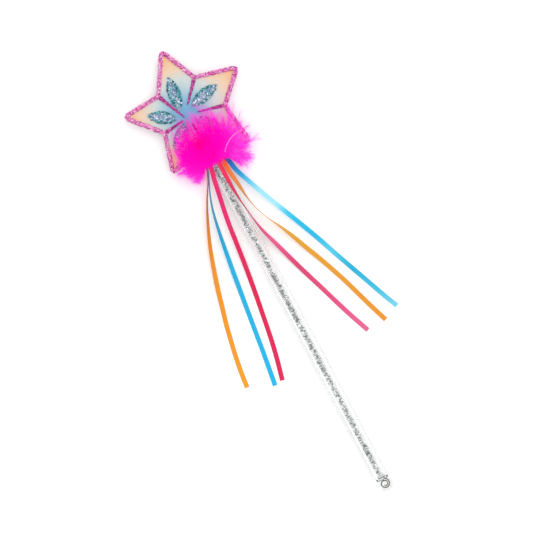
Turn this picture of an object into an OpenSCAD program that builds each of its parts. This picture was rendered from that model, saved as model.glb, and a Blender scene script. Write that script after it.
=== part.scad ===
// Toy magic wand: a fabric star on a wire frame, a feather puff and six satin ribbons
// on a clear stick that is filled with tinsel. It lies flat, star side up.
// +Y runs along the stick towards the star, +Z is up and z = 0 is the surface under it.

/* [Stick] */
// Outer diameter of the clear tube
tube_d = 9.6; // [9:0.1:10]
// Bore of the clear tube
tube_bore = 6.4; // [6:0.1:6.8]
// Length of the clear tube
tube_l = 269; // [240:1:290]
// Diameter of the clear ball on the handle end
ball_d = 12; // [11.6:0.1:13]
// Length of the ball's spigot in the tube
spigot_l = 3; // [2:0.5:12]
// Diameter over the tips of the tinsel
tinsel_d = 5.8; // [5:0.1:5.8]
// Diameter at the roots of the tinsel's blades
tinsel_core_d = 3.6; // [2.4:0.1:4]
// Spacing of the rows of tinsel blades
tinsel_pitch = 1.9; // [1.6:0.1:3]
// How far the mouth of the tube is from the middle of the wand
neck_y = 96; // [94:0.5:98]
// How far the stick lies from the middle of the wand's width
axis_x = -2; // [-3:0.5:-1]

/* [Star] */
// From the star's middle to the tip of an arm, along the edge wire, before rounding
star_tip_r = 47; // [44:0.5:50]
// From the star's middle to a notch, along the edge wire
star_notch_r = 24.6; // [23:0.2:26]
// From the tube's mouth to the star's middle
star_reach = 39.3; // [38:0.1:41]
// How far the star leans to the right, in degrees
star_lean = 2.2; // [0:0.1:4]
// Bend radius of the wire at an arm's tip
tip_round = 1.8; // [1.75:0.05:2.5]
// Diameter of the frame wire
wire_d = 1.6; // [1.2:0.1:1.6]
// Thickness of a fabric skin
skin_t = 0.4; // [0.3:0.05:0.5]
// How far a skin reaches past the middle of the wire
hem = 1.2; // [0.8:0.1:1.4]
// Width of the glitter bead on the edge
bead_w = 3.2; // [2.6:0.1:3.4]
// Height of the glitter bead
bead_h = 1.1; // [0.8:0.1:1.2]

/* [Ornament] */
// Width of a glitter rib where it meets the notch
rib_w = 3.4; // [2.6:0.1:4]
// Height of a glitter rib
rib_h = 0.9; // [0.5:0.1:1]
// Width of a petal
petal_w = 9; // [7:0.5:9.5]
// Thickness of a petal
petal_t = 0.5; // [0.3:0.1:0.8]

/* [Neck] */
// Width of the thread whipping that ties the ribbons on
tie_w = 2.2; // [1.6:0.2:2.4]
// Thickness of the thread whipping
tie_t = 1.1; // [0.8:0.1:1.1]
// Thickness of the feather strip's core cord
core_d = 1.1; // [0.8:0.1:1.1]
// Radius of the feather puff's main lobe
puff_r = 22; // [21:0.5:23]

/* [Ribbons] */
// Width of a ribbon
ribbon_w = 3.5; // [2.6:0.1:3.6]
// Thickness of a ribbon
ribbon_t = 0.4; // [0.3:0.05:0.4]

/* [Hidden] */
$fn = 48;

// Gap between pieces that are glued or plugged together
fit_gap = 0.05;
// Room that the soft puff leaves round its neighbours
puff_gap = 0.4;

// The stick
axis_z = ball_d / 2;
ball_flat = sqrt(pow(ball_d / 2, 2) - pow(tube_d / 2, 2));
tube_y = neck_y - tube_l;
ball_y = tube_y - ball_flat;
plug_l = 6;
plug_flange = 1.5;
tinsel_sides = 8;
tinsel_swirl = 9;
tinsel_gap = 0.5;
tinsel_y = tube_y + spigot_l + tinsel_gap;
tinsel_rows = floor((neck_y - plug_l - tinsel_gap - tinsel_y) / tinsel_pitch);

// The star's heights, above and below its middle plane
skin_z = wire_d / 2 + fit_gap;
trim_z = skin_z + skin_t + fit_gap;

// How far each arm of the hand-bent frame has turned from a regular star and how much longer it is, and
// how far the notch after it has turned and moved out, clockwise from the top arm
arm_turns = [0.8, 2.1, -1.2, 3.5, 1.4];
arm_stretch = [1.2, 0.9, 4.2, 1.6, 1.3];
notch_turns = [0, 0, 0, 0, -4];
notch_stretch = [0, 2.4, 0, 0, 0];
wire_leg_gap = 2;
wire_leg_l = 5;
wire_sides = 8;

// Where each rib ends, from the star's middle
rib_ends = [[1.2, 4], [5.3, -4.2], [-2.4, -9.5], [-6.7, -5], [-5.3, -3]];
// How far a rib's foot stands off its notch, in bead widths, so that it starts at the bead
rib_foot = 0.62;
// The petals: where each starts, from the star's middle, its heading clockwise from +Y, and its length
petal_places = [
    [[-5.5, 2.7], 7.5, 26],
    [[3.3, 1.7], 77.5, 24.5],
    [[1.5, -7.3], 140, 23],
    [[-6, -7.3], 228, 23],
    [[-10.5, -2.3], 305, 22.5],
];

// The thread whipping and the core cord sit one behind the other on the tube's end
tie_y = neck_y - 3.6;
core_y = neck_y - 0.7;
puff_bore_r = tube_d / 2 + core_d + 2 * fit_gap;

// The puff's lobes: middle as seen from above, height of the middle, and radius
puff_lobes = [
    [0, 104, 4, puff_r],
    [14, 98, 5, 15],
    [17, 86.5, 5, 10],
    [-15, 93, 5, 10],
    [14, 112.5, 6, 11.5],
];
// The open side of the puff, where the ribbons come out, as seen from above
puff_mouth = [[-13.5, 92.5], [10.5, 94], [17, 77], [24, 60], [-30, 60], [-23, 74]];
puff_top = 60;
// The stretch of the stick that the puff is kept clear of
neck_foot_y = neck_y - 40;
neck_l = neck_y + plug_flange + puff_gap - neck_foot_y;

// The ribbons' routes, from the knot to the cut end: x, y, z and how far the ribbon is turned on edge
route_left_orange = [
    [-9, 90.5, 5, 80], [-13, 81.5, 5, 82], [-19.3, 71, 4.9, 76], [-24.7, 60.5, 4.5, 66],
    [-29.6, 49.5, 4, 53], [-33.9, 39, 3.4, 40], [-37.7, 28, 2.7, 28], [-41.2, 17, 1.9, 17],
    [-44.4, 6, 1.2, 9], [-47.5, -6, 0.6, 4], [-50.4, -17, 0.3, 0], [-53, -29, 0.3, 0],
    [-55.5, -41.5, 0.3, 0], [-57.5, -54, 0.3, 0], [-58.9, -66.5, 0.3, 0],
];
route_left_blue = [
    [-8.2, 90.5, 8.8, 80], [-11.5, 82.5, 8.6, 82], [-15.7, 73, 7.6, 78], [-19.4, 62, 6.3, 68],
    [-21.9, 50.5, 5, 55], [-23.9, 39, 3.8, 42], [-25.7, 27.5, 2.8, 28], [-27.4, 16, 1.9, 16],
    [-29, 4.5, 1.1, 7], [-30.7, -8, 0.5, 2], [-32.4, -21, 0.3, 0], [-34.1, -34, 0.3, 0],
    [-35.8, -47, 0.3, 0], [-37.7, -60.5, 0.3, 0], [-39.85, -75, 0.3, 0],
];
route_left_pink = [
    [-5.6, 90.5, 11.6, -15], [-7.9, 80.5, 10.6, -12], [-10, 69, 9, -8], [-12.1, 57.5, 7.2, -5],
    [-13.9, 46, 5.5, 0], [-15.2, 34.5, 4, 0], [-16.5, 23, 2.7, 0], [-17.9, 11.5, 1.6, 0],
    [-19.5, 0, 0.9, 0], [-21.2, -11.5, 0.5, 0], [-23, -23, 0.3, 0], [-24.9, -35, 0.3, 0],
    [-27.1, -47.5, 0.3, 0], [-29.8, -60, 0.3, 0], [-33.3, -74.1, 0.3, 0],
];
route_right_pink = [
    [1, 90.5, 11.2, 12], [1.1, 80, 10.8, 25], [1.2, 69, 10.8, 52], [1.9, 58, 10.6, 74],
    [3.2, 48.5, 9.6, 80], [4.4, 39.5, 7.4, 72], [6.5, 29.5, 5, 50], [9.9, 19, 3.2, 32],
    [13.1, 8.5, 2, 18], [17, -4, 1, 8], [21.2, -16.5, 0.5, 0], [25.5, -29, 0.3, 0],
    [29.8, -42, 0.3, 0], [34.5, -55.5, 0.3, 0], [40.4, -70.9, 0.3, 0],
];
route_right_orange = [
    [4.4, 90.5, 9, 28], [5, 80, 8.6, 24], [6.3, 69, 8.2, 42], [7.4, 58, 7.6, 72],
    [9.6, 48, 6.8, 83], [13.8, 37.5, 5.6, 82], [18.7, 28, 4.4, 62], [23.8, 17, 3, 34],
    [28.4, 5.5, 1.9, 15], [33.3, -6, 1, 6], [38, -18, 0.5, 0], [42.6, -30.5, 0.3, 0],
    [46.8, -43.5, 0.3, 0], [51, -56.5, 0.3, 0], [55.7, -70.2, 0.3, 0],
];
route_right_blue = [
    [7.6, 90.5, 6.6, 12], [9.7, 80.5, 6, 10], [13.4, 70, 5.3, 8], [17.8, 59, 4.4, 6],
    [22.5, 47.5, 3.5, 5], [27.3, 36.5, 2.7, 4], [32, 25.5, 1.9, 2], [36.6, 14.5, 1.3, 0],
    [41, 3.5, 0.8, 0], [45.3, -8, 0.5, 0], [49.8, -19.5, 0.3, 0], [54.3, -31, 0.3, 0],
    [58.8, -42.5, 0.3, 0], [63.3, -54, 0.3, 0], [68, -65, 0.3, 0],
];

orange = [0.96, 0.58, 0.12];
blue = [0.05, 0.70, 0.92];
pink_red = [0.92, 0.14, 0.37];
glitter_pink = [0.84, 0.27, 0.67];
glitter_teal = [0.16, 0.51, 0.57];
puff_magenta = [1, 0, 0.78];
clear = [0.85, 0.9, 0.95, 0.4];

// Plain vector helpers
function unit(v) = v / norm(v);
function heading(a) = [sin(a), cos(a)];
function left_of(v) = [-v.y, v.x];

// A place in the star's plane, from its middle, clockwise from the leaning centre line
star_mid = [axis_x, neck_y] + star_reach * heading(star_lean);
function star_point(a, r) = star_mid + r * heading(star_lean + a);
function arm_angle(k) = 72 * k + arm_turns[k];
function tip(k) = star_point(arm_angle(k % 5), star_tip_r + arm_stretch[k % 5]);
function notch(k) =
    star_point(72 * (k % 5) + 36 + notch_turns[k % 5], star_notch_r + notch_stretch[k % 5]);

// Three points on the round bend that replaces the corner between two straight runs
function bend(before, corner, after, r) =
    let (
        a = unit(before - corner),
        b = unit(after - corner),
        half = acos(a * b) / 2,
        inwards = unit(a + b)
    )
    [
        corner + a * r / tan(half),
        corner + inwards * (r / sin(half) - r),
        corner + b * r / tan(half),
    ];

// The edge wire's centre line, clockwise from the notch after the first tip, arm by arm
function arm(k) = concat(bend(notch(k + 4), tip(k), notch(k), tip_round), [notch(k)]);
star_edge = [for (k = [0:4]) each arm(k)];

// Sideways unit shift at point i of a path, lengthened at corners so that widths hold
function mitre(path, i, closed) =
    let (
        n = len(path),
        before = closed || i > 0 ? path[(i + n - 1) % n] : 2 * path[i] - path[i + 1],
        after = closed || i < n - 1 ? path[(i + 1) % n] : 2 * path[i] - path[i - 1],
        a = left_of(unit(path[i] - before)),
        b = left_of(unit(after - path[i])),
        m = unit(a + b)
    )
    m / (m * a);

function widened(path, d) = [for (i = [0:len(path) - 1]) path[i] + d * mitre(path, i, true)];

// Triangles between the rings of a swept skin, with flat ends or joined end to end
// A strip's two broad faces are cut along the same diagonals, so that it keeps its thickness as it twists
function ring_faces(rings, sides, closed, strip = false) =
    [
        for (i = [0:rings - (closed ? 1 : 2)], j = [0:sides - 1], half = [0:1])
            let (
                next = (i + 1) % rings,
                a = i * sides + j,
                b = i * sides + (j + 1) % sides,
                c = next * sides + (j + 1) % sides,
                d = next * sides + j
            )
            strip && j >= sides / 2
                ? (half == 0 ? [a, b, d] : [b, c, d])
                : (half == 0 ? [a, b, c] : [a, c, d])
    ];
function end_faces(rings, sides) =
    let (last = (rings - 1) * sides)
    [
        for (j = [1:sides - 2], end = [0:1])
            end == 0 ? [0, j + 1, j] : [last, last + j, last + j + 1]
    ];

// A solid from rings of equal length, run from one flat end to the other
module swept(rings, strip = false) {
    sides = len(rings[0]);
    polyhedron(
        points = [for (ring = rings) each ring],
        faces = concat(ring_faces(len(rings), sides, false, strip), end_faces(len(rings), sides))
    );
}

// A closed hoop from rings of equal length
module hoop(rings) {
    polyhedron(
        points = [for (ring = rings) each ring],
        faces = ring_faces(len(rings), len(rings[0]), true)
    );
}

// Half-round cross-section from one foot to the other, as sideways and upward shares
function half_round() = [[1, 0], [0.85, 0.55], [0.4, 0.95], [-0.4, 0.95], [-0.85, 0.55], [-1, 0]];

// Puts a shape that is drawn along +Z onto the stick's axis, along +Y from the given place
module on_stick(y) {
    translate([axis_x, y, axis_z]) rotate([-90, 0, 0]) children();
}

module star_plane() {
    translate([0, 0, axis_z]) children();
}

module back_side() {
    mirror([0, 0, 1]) children();
}

module wand_tube() {
    color(clear) on_stick(tube_y) difference() {
        cylinder(d = tube_d, h = tube_l);
        translate([0, 0, -1]) cylinder(d = tube_bore, h = tube_l + 2);
    }
}

module end_ball() {
    color(clear) {
        difference() {
            translate([axis_x, ball_y, axis_z]) sphere(d = ball_d);
            translate([axis_x - ball_d, tube_y, 0]) cube([2 * ball_d, ball_d, ball_d]);
        }
        on_stick(tube_y) cylinder(d = tube_bore - 2 * fit_gap, h = spigot_l);
    }
}

// Rows of foil blades, each row's tips over the last row's roots
module tinsel_strand() {
    step = 360 / tinsel_sides;
    rings = [
        for (i = [0:tinsel_rows])
            [
                for (j = [0:tinsel_sides - 1])
                    let (
                        d = (i + j) % 2 == 0 ? tinsel_d : tinsel_core_d,
                        a = -j * step + i * tinsel_swirl
                    )
                    [axis_x + d / 2 * cos(a), tinsel_y + i * tinsel_pitch, axis_z + d / 2 * sin(a)]
            ]
    ];
    color("silver") swept(rings);
}

// Bung with two holes for the ends of the star's wire
module neck_plug() {
    color("white") on_stick(neck_y) difference() {
        union() {
            translate([0, 0, -plug_l]) cylinder(d = tube_bore - 2 * fit_gap, h = plug_l);
            cylinder(d = tube_d, h = plug_flange);
        }
        for (side = [-1, 1])
            translate([side * wire_leg_gap / 2, 0, -plug_l - 1])
                cylinder(d = wire_d + 4 * fit_gap, h = plug_l + plug_flange + 2);
    }
}

// One bent wire: up out of the plug, round the star and back down beside itself
module star_wire() {
    side = wire_leg_gap / 2 * heading(star_lean + 90);
    foot = [axis_x, neck_y - wire_leg_l];
    knee = [axis_x, neck_y + plug_flange];
    leg_x = [wire_leg_gap / 2, 0];
    start = [foot - leg_x, knee - leg_x, notch(2) - side];
    finish = [notch(2) + side, knee + leg_x, foot + leg_x];
    round_star = concat(arm(3), arm(4), arm(0), arm(1));
    last_tip = bend(notch(1), tip(2), notch(2), tip_round);
    path = concat(start, round_star, last_tip, finish);
    step = 360 / wire_sides;
    rings = [
        for (i = [0:len(path) - 1])
            let (m = mitre(path, i, false))
            [
                for (j = [0:wire_sides - 1])
                    let (p = path[i] + wire_d / 2 * cos(j * step) * m)
                    [p.x, p.y, axis_z - wire_d / 2 * sin(j * step)]
            ]
    ];
    color("silver") swept(rings);
}

module star_skin() {
    star_plane() translate([0, 0, skin_z]) linear_extrude(skin_t) polygon(widened(star_edge, hem));
}

module star_front_skin() {
    color([0.62, 0.82, 0.88]) star_skin();
}

module star_back_skin() {
    color([0.62, 0.82, 0.88]) translate([0, 0, 2 * axis_z]) back_side() star_skin();
}

module edge_bead() {
    rings = [
        for (i = [0:len(star_edge) - 1])
            let (m = mitre(star_edge, i, true))
            [
                for (c = half_round())
                    let (p = star_edge[i] - bead_w / 2 * c.x * m)
                    [p.x, p.y, axis_z + trim_z + bead_h * c.y]
            ]
    ];
    hoop(rings);
}

module edge_bead_front() {
    color(glitter_pink) edge_bead();
}

module edge_bead_back() {
    color(glitter_pink) translate([0, 0, 2 * axis_z]) back_side() edge_bead();
}

// A glitter rib from its notch inwards, with shares of its length, width and height at each station
module rib(k) {
    inner_end = star_mid + rib_ends[k];
    inwards = unit(inner_end - notch(k));
    start = notch(k) + rib_foot * bead_w * inwards;
    rib_l = norm(inner_end - start);
    stations = [[0, 1, 1], [0.14, 0.72, 1], [0.5, 0.55, 0.85], [0.9, 0.4, 0.7], [1, 0.2, 0.4]];
    rings = [
        for (s = stations)
            let (mid = start + s[0] * rib_l * inwards)
            [
                for (c = half_round())
                    let (p = mid - rib_w / 2 * s[1] * c.x * left_of(inwards))
                    [p.x, p.y, axis_z + trim_z + rib_h * s[2] * c.y]
            ]
    ];
    color(glitter_pink) swept(rings);
}

module rib_1() { rib(0); }
module rib_2() { rib(1); }
module rib_3() { rib(2); }
module rib_4() { rib(3); }
module rib_5() { rib(4); }

// A glitter petal in an arm: the lens where two round discs overlap
module petal(k) {
    turn = petal_places[k][1];
    petal_l = petal_places[k][2];
    arc_r = (pow(petal_l, 2) + pow(petal_w, 2)) / (4 * petal_w);
    mid = star_mid + petal_places[k][0] + petal_l / 2 * heading(turn);
    color(glitter_teal)
        translate([mid.x, mid.y, axis_z + trim_z])
        rotate([0, 0, -turn])
        linear_extrude(petal_t) intersection() {
            translate([arc_r - petal_w / 2, 0]) circle(arc_r);
            translate([petal_w / 2 - arc_r, 0]) circle(arc_r);
        }
}

module petal_1() { petal(0); }
module petal_2() { petal(1); }
module petal_3() { petal(2); }
module petal_4() { petal(3); }
module petal_5() { petal(4); }

module ribbon_tie() {
    color(pink_red) on_stick(tie_y) difference() {
        cylinder(d = tube_d + 2 * tie_t, h = tie_w);
        translate([0, 0, -1]) cylinder(d = tube_d + 2 * fit_gap, h = tie_w + 2);
    }
}

module feather_cord() {
    color(puff_magenta) on_stick(core_y)
        rotate_extrude() translate([tube_d / 2 + core_d / 2 + fit_gap, 0]) circle(d = core_d);
}

// Fluffed feathers as soft lobes, open round the neck, the star and the ribbons' mouth
module feather_puff() {
    slot_z = trim_z + bead_h + puff_gap;
    color(puff_magenta) difference() {
        for (lobe = puff_lobes) translate([lobe[0], lobe[1], lobe[2]]) sphere(lobe[3]);
        translate([-puff_top, 0, -puff_top]) cube([2 * puff_top, 3 * puff_top, puff_top]);
        star_plane() translate([0, 0, -slot_z]) linear_extrude(2 * slot_z)
            polygon(widened(star_edge, bead_w / 2 + puff_gap));
        on_stick(neck_foot_y) cylinder(r = puff_bore_r, h = neck_l);
        translate([axis_x - puff_bore_r, neck_foot_y, -1]) cube([2 * puff_bore_r, neck_l, axis_z + 1]);
        on_stick(neck_y) cylinder(r = wire_leg_gap + wire_d / 2, h = star_reach - star_notch_r);
        linear_extrude(puff_top) polygon(puff_mouth);
    }
}

// A flat ribbon along its route, turned on edge by the angle given at each point
module ribbon(route) {
    w = ribbon_w / 2;
    t = ribbon_t / 2;
    outline = [
        [w, -0.6 * t], [w, 0.6 * t], [w - 0.6 * t, t], [0.6 * t - w, t],
        [-w, 0.6 * t], [-w, -0.6 * t], [0.6 * t - w, -t], [w - 0.6 * t, -t],
    ];
    places = [for (p = route) [p[0], p[1], p[2]]];
    last = len(places) - 1;
    rings = [
        for (i = [0:last])
            let (
                along = unit(places[min(i + 1, last)] - places[max(i - 1, 0)]),
                level = unit(cross(along, [0, 0, 1])),
                up = cross(level, along),
                turn = route[i][3],
                across = level * cos(turn) + up * sin(turn),
                normal = up * cos(turn) - level * sin(turn)
            )
            [for (c = outline) places[i] + c.x * across + c.y * normal]
    ];
    swept(rings, strip = true);
}

module ribbon_left_orange() { color(orange) ribbon(route_left_orange); }
module ribbon_left_blue() { color(blue) ribbon(route_left_blue); }
module ribbon_left_pink() { color(pink_red) ribbon(route_left_pink); }
module ribbon_right_pink() { color(pink_red) ribbon(route_right_pink); }
module ribbon_right_orange() { color(orange) ribbon(route_right_orange); }
module ribbon_right_blue() { color(blue) ribbon(route_right_blue); }

wand_tube();
end_ball();
tinsel_strand();
neck_plug();
star_wire();
star_front_skin();
star_back_skin();
edge_bead_front();
edge_bead_back();
rib_1();
rib_2();
rib_3();
rib_4();
rib_5();
petal_1();
petal_2();
petal_3();
petal_4();
petal_5();
ribbon_tie();
feather_cord();
feather_puff();
ribbon_left_orange();
ribbon_left_blue();
ribbon_left_pink();
ribbon_right_pink();
ribbon_right_orange();
ribbon_right_blue();
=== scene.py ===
"""Dresses the toy magic wand: clear stick, fabric star, glitter trim, feather puff and satin ribbons."""

from __future__ import annotations

import logging
import math
import random
from collections.abc import Callable, Iterable, Sequence
from dataclasses import dataclass
from enum import Enum
from typing import Any

import bmesh
import bpy
import numpy as np
from bpy.types import Node, NodeSocket, NodeTree
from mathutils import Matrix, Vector
from mathutils.bvhtree import BVHTree

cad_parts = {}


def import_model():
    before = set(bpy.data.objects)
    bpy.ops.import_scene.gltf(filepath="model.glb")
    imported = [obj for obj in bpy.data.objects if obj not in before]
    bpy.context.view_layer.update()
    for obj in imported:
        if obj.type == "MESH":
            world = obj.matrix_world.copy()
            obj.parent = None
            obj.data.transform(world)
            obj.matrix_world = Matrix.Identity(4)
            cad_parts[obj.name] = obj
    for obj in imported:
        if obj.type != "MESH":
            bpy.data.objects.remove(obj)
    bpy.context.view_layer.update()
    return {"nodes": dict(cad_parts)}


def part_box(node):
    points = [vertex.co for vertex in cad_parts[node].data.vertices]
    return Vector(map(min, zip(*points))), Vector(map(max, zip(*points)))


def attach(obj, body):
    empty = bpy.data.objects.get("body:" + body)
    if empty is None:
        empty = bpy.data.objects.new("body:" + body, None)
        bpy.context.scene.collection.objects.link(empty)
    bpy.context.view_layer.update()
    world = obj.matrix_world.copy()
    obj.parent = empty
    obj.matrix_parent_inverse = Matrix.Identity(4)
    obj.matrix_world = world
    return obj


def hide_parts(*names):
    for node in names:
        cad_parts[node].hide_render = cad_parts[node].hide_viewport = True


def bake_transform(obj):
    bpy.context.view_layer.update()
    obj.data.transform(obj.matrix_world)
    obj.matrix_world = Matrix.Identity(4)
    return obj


log = logging.getLogger("wand")

MM = 0.001
WAND = "wand"
FULL = (0.0, 1.0)
WHITE = (1.0, 1.0, 1.0, 1.0)
UP = Vector((0.0, 0.0, 1.0))
RIPPLE = {"Scale": 420.0, "Detail": 1.0}

Pair = tuple[float, float]
Point = tuple[float, float, float]
Stops = tuple[tuple[float, str], ...]
Piece = bpy.types.Object


def paint(code: str) -> tuple[float, float, float, float]:
    """Turns a display colour, as six hex digits, into the linear colour that shaders use."""
    shares = (int(code[i : i + 2], 16) / 255 for i in (0, 2, 4))
    red, green, blue = (s / 12.92 if s <= 0.04045 else ((s + 0.055) / 1.055) ** 2.4 for s in shares)
    return (red, green, blue, 1.0)


class Side(Enum):
    """The two faces of the star, by which way they look along Z."""

    FRONT = 1
    BACK = -1


class Bench:
    """Adds nodes to one tree and joins them."""

    def __init__(self, tree: NodeTree) -> None:
        """Keeps the tree that the nodes go into."""
        self.tree = tree

    @staticmethod
    def pick(sockets: Any, key: int | str) -> NodeSocket:
        """Finds a socket by its place, its identifier or its name."""
        if isinstance(key, str):
            for socket in sockets:
                if socket.identifier == key:
                    return socket
        return sockets[key]

    def join(self, source: Any, socket: NodeSocket) -> None:
        """Feeds a socket from a node's first output, from a socket or with a plain value."""
        if isinstance(source, Node):
            source = source.outputs[0]
        if isinstance(source, NodeSocket):
            self.tree.links.new(source, socket)
        else:
            socket.default_value = source

    def add(self, kind: str, inputs: dict | None = None, **settings: Any) -> Node:
        """Adds one node.

        Args:
            kind: Blender's name of the node type.
            inputs: What each input socket is fed with.
            settings: The node's own properties.

        Returns:
            The new node.
        """
        node = self.tree.nodes.new(kind)
        for name, value in settings.items():
            setattr(node, name, value)
        for key, value in (inputs or {}).items():
            self.join(value, self.pick(node.inputs, key))
        return node

    def maths(self, operation: str, a: Any, b: Any = 0.0) -> NodeSocket:
        """Works out one sum on two values."""
        return self.add("ShaderNodeMath", {0: a, 1: b}, operation=operation).outputs[0]

    def times(self, first: Any, *others: Any) -> Any:
        """Multiplies values with each other, in order."""
        for other in others:
            first = self.maths("MULTIPLY", first, other)
        return first

    def vectors(self, operation: str, a: Any, b: Any) -> Node:
        """Works out one sum on two vectors."""
        return self.add("ShaderNodeVectorMath", {0: a, 1: b}, operation=operation)

    def scaled(self, vector: Any, share: Any) -> NodeSocket:
        """Multiplies a vector by a value."""
        return self.add("ShaderNodeVectorMath", {0: vector, "Scale": share}, operation="SCALE").outputs[0]

    def xyz(self, x: Any = 0.0, y: Any = 0.0, z: Any = 0.0) -> Node:
        """Makes a vector of three values."""
        return self.add("ShaderNodeCombineXYZ", {"X": x, "Y": y, "Z": z})

    def parts(self, vector: Any) -> Any:
        """Takes a vector apart into three values."""
        return self.add("ShaderNodeSeparateXYZ", {0: vector}).outputs

    def remap(self, value: Any, span: Pair, to: Pair = FULL) -> NodeSocket:
        """Maps a value from one span to another and clamps it there."""
        places = {0: value, 1: span[0], 2: span[1], 3: to[0], 4: to[1]}
        return self.add("ShaderNodeMapRange", places).outputs[0]


class Paintbox(Bench):
    """A bench with the nodes that finishes use most."""

    def place(self) -> NodeSocket:
        """Gives the place on the piece in its own coordinates."""
        return self.add("ShaderNodeTexCoord").outputs["Object"]

    def away(self, middle: Pair) -> NodeSocket:
        """Measures how far the place lies from a middle, seen from above."""
        flat = self.vectors("MULTIPLY", self.place(), (1.0, 1.0, 0.0))
        return self.vectors("DISTANCE", flat, (*middle, 0.0)).outputs["Value"]

    def attribute(self, name: str) -> NodeSocket:
        """Reads a value that the mesh carries."""
        return self.add("ShaderNodeAttribute", attribute_name=name).outputs["Fac"]

    def noise(self, vector: Any, scale: Any, detail: float = 2.0) -> NodeSocket:
        """Gives cloudy noise from 0 to 1."""
        inputs = {"Vector": vector, "Scale": scale, "Detail": detail}
        return self.add("ShaderNodeTexNoise", inputs).outputs[0]

    def ramp(self, factor: Any, stops: Stops, steps: bool = False) -> NodeSocket:
        """Turns a value into a colour.

        Args:
            factor: The value, from 0 to 1.
            stops: Places and display colours, in order.
            steps: True where each colour runs on unmixed up to the next.

        Returns:
            The colour socket.
        """
        node = self.add("ShaderNodeValToRGB", {0: factor})
        node.color_ramp.interpolation = "CONSTANT" if steps else "LINEAR"
        marks = node.color_ramp.elements
        while len(marks) < len(stops):
            marks.new(1.0)
        for mark, (place, code) in zip(marks, stops):
            mark.position = place
            mark.color = paint(code)
        return node.outputs[0]

    def mix(self, factor: Any, a: Any, b: Any) -> NodeSocket:
        """Mixes two colours."""
        inputs = {"Factor_Float": factor, "A_Color": a, "B_Color": b}
        return self.add("ShaderNodeMix", inputs, data_type="RGBA").outputs[2]

    def bump(self, height: Any, depth: float, strength: float = 1.0) -> NodeSocket:
        """Turns a height from 0 to 1 into a bumped normal of the given depth in metres."""
        inputs = {"Height": height, "Distance": depth, "Strength": strength}
        return self.add("ShaderNodeBump", inputs).outputs[0]

    def group(self, tree: NodeTree, **inputs: Any) -> NodeSocket:
        """Places a shared node group, feeds it and gives its output."""
        return self.add("ShaderNodeGroup", inputs, node_tree=tree).outputs[0]

    def settle(self, shader: Node, **feeds: Any) -> None:
        """Feeds a shader's own sockets, named with _ for a space."""
        for name, source in feeds.items():
            self.join(source, shader.inputs[name.replace("_", " ")])


def shared_group(name: str, wire: Callable[[Paintbox, Any], Any], **kinds: str) -> NodeTree:
    """Builds a shader group with one output called Value, or finds it if it is there.

    Args:
        name: The group's name.
        wire: Adds the nodes and gives the socket that becomes the output.
        kinds: The group's inputs, with the kind of each one's socket.

    Returns:
        The group's node tree.
    """
    known = bpy.data.node_groups.get(name)
    if known:
        return known
    tree = bpy.data.node_groups.new(name, "ShaderNodeTree")
    for label, kind in kinds.items():
        tree.interface.new_socket(label, in_out="INPUT", socket_type=f"NodeSocket{kind}")
    tree.interface.new_socket("Value", in_out="OUTPUT", socket_type="NodeSocketFloat")
    box = Paintbox(tree)
    source = box.add("NodeGroupInput")
    sink = box.add("NodeGroupOutput")
    box.join(wire(box, source.outputs), sink.inputs["Value"])
    return tree


def weave_group() -> NodeTree:
    """Gives the height of a plain weave, thread over and under thread."""

    def wire(box: Paintbox, source: Any) -> NodeSocket:
        """Crosses two sets of round threads and picks the upper one in each square."""
        pitch = source["Pitch"]
        turns = box.parts(box.vectors("DIVIDE", source["Vector"], box.xyz(pitch, pitch, pitch)))
        waves = [box.maths("SINE", box.times(turns[i], math.pi)) for i in (0, 1)]
        over = box.maths("GREATER_THAN", box.times(*waves))
        warp, weft = (box.maths("ABSOLUTE", wave) for wave in waves)
        lift = box.times(over, box.maths("SUBTRACT", warp, weft))
        return box.maths("ADD", weft, lift)

    return shared_group("Weave", wire, Vector="Vector", Pitch="Float")


def mottle_group() -> NodeTree:
    """Gives blotches of two sizes, from 0 to 1, with a set contrast."""
    finer, coarse_share, fine_share = 3.1, 0.65, 0.35

    def wire(box: Paintbox, source: Any) -> NodeSocket:
        """Adds fine noise to coarse noise and stretches the sum about its middle."""
        coarse = box.noise(source["Vector"], source["Scale"], 1.0)
        fine = box.noise(source["Vector"], box.times(source["Scale"], finer), 1.0)
        both = box.maths("ADD", box.times(coarse, coarse_share), box.times(fine, fine_share))
        spread = box.times(box.maths("SUBTRACT", both, 0.5), source["Contrast"])
        return box.remap(box.maths("ADD", spread, 0.5), FULL)

    return shared_group("Mottle", wire, Vector="Vector", Scale="Float", Contrast="Float")


def scuff_group() -> NodeTree:
    """Gives fine handling marks that run mostly along the stick, from 0 to 1."""
    drawing, peaks = (1.0, 0.12, 1.0), (0.52, 0.72)

    def wire(box: Paintbox, source: Any) -> NodeSocket:
        """Draws noise out along Y and keeps its peaks."""
        drawn = box.vectors("MULTIPLY", source["Vector"], drawing)
        return box.remap(box.noise(drawn, source["Scale"], 4.0), peaks)

    return shared_group("Scuff", wire, Vector="Vector", Scale="Float")


@dataclass(frozen=True)
class Finish:
    """A surface finish, made into a material the first time that it is used."""

    name: str

    def material(self) -> bpy.types.Material:
        """Gives the finish's material."""
        known = bpy.data.materials.get(self.name)
        if known:
            return known
        made = bpy.data.materials.new(self.name)
        made.use_nodes = True
        self.dress(Paintbox(made.node_tree), made.node_tree.nodes["Principled BSDF"])
        return made

    def dress(self, box: Paintbox, shader: Node) -> None:
        """Sets the shader up; each kind of finish has its own way.

        Args:
            box: The material's bench.
            shader: Its Principled BSDF.
        """
        raise NotImplementedError


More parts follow.
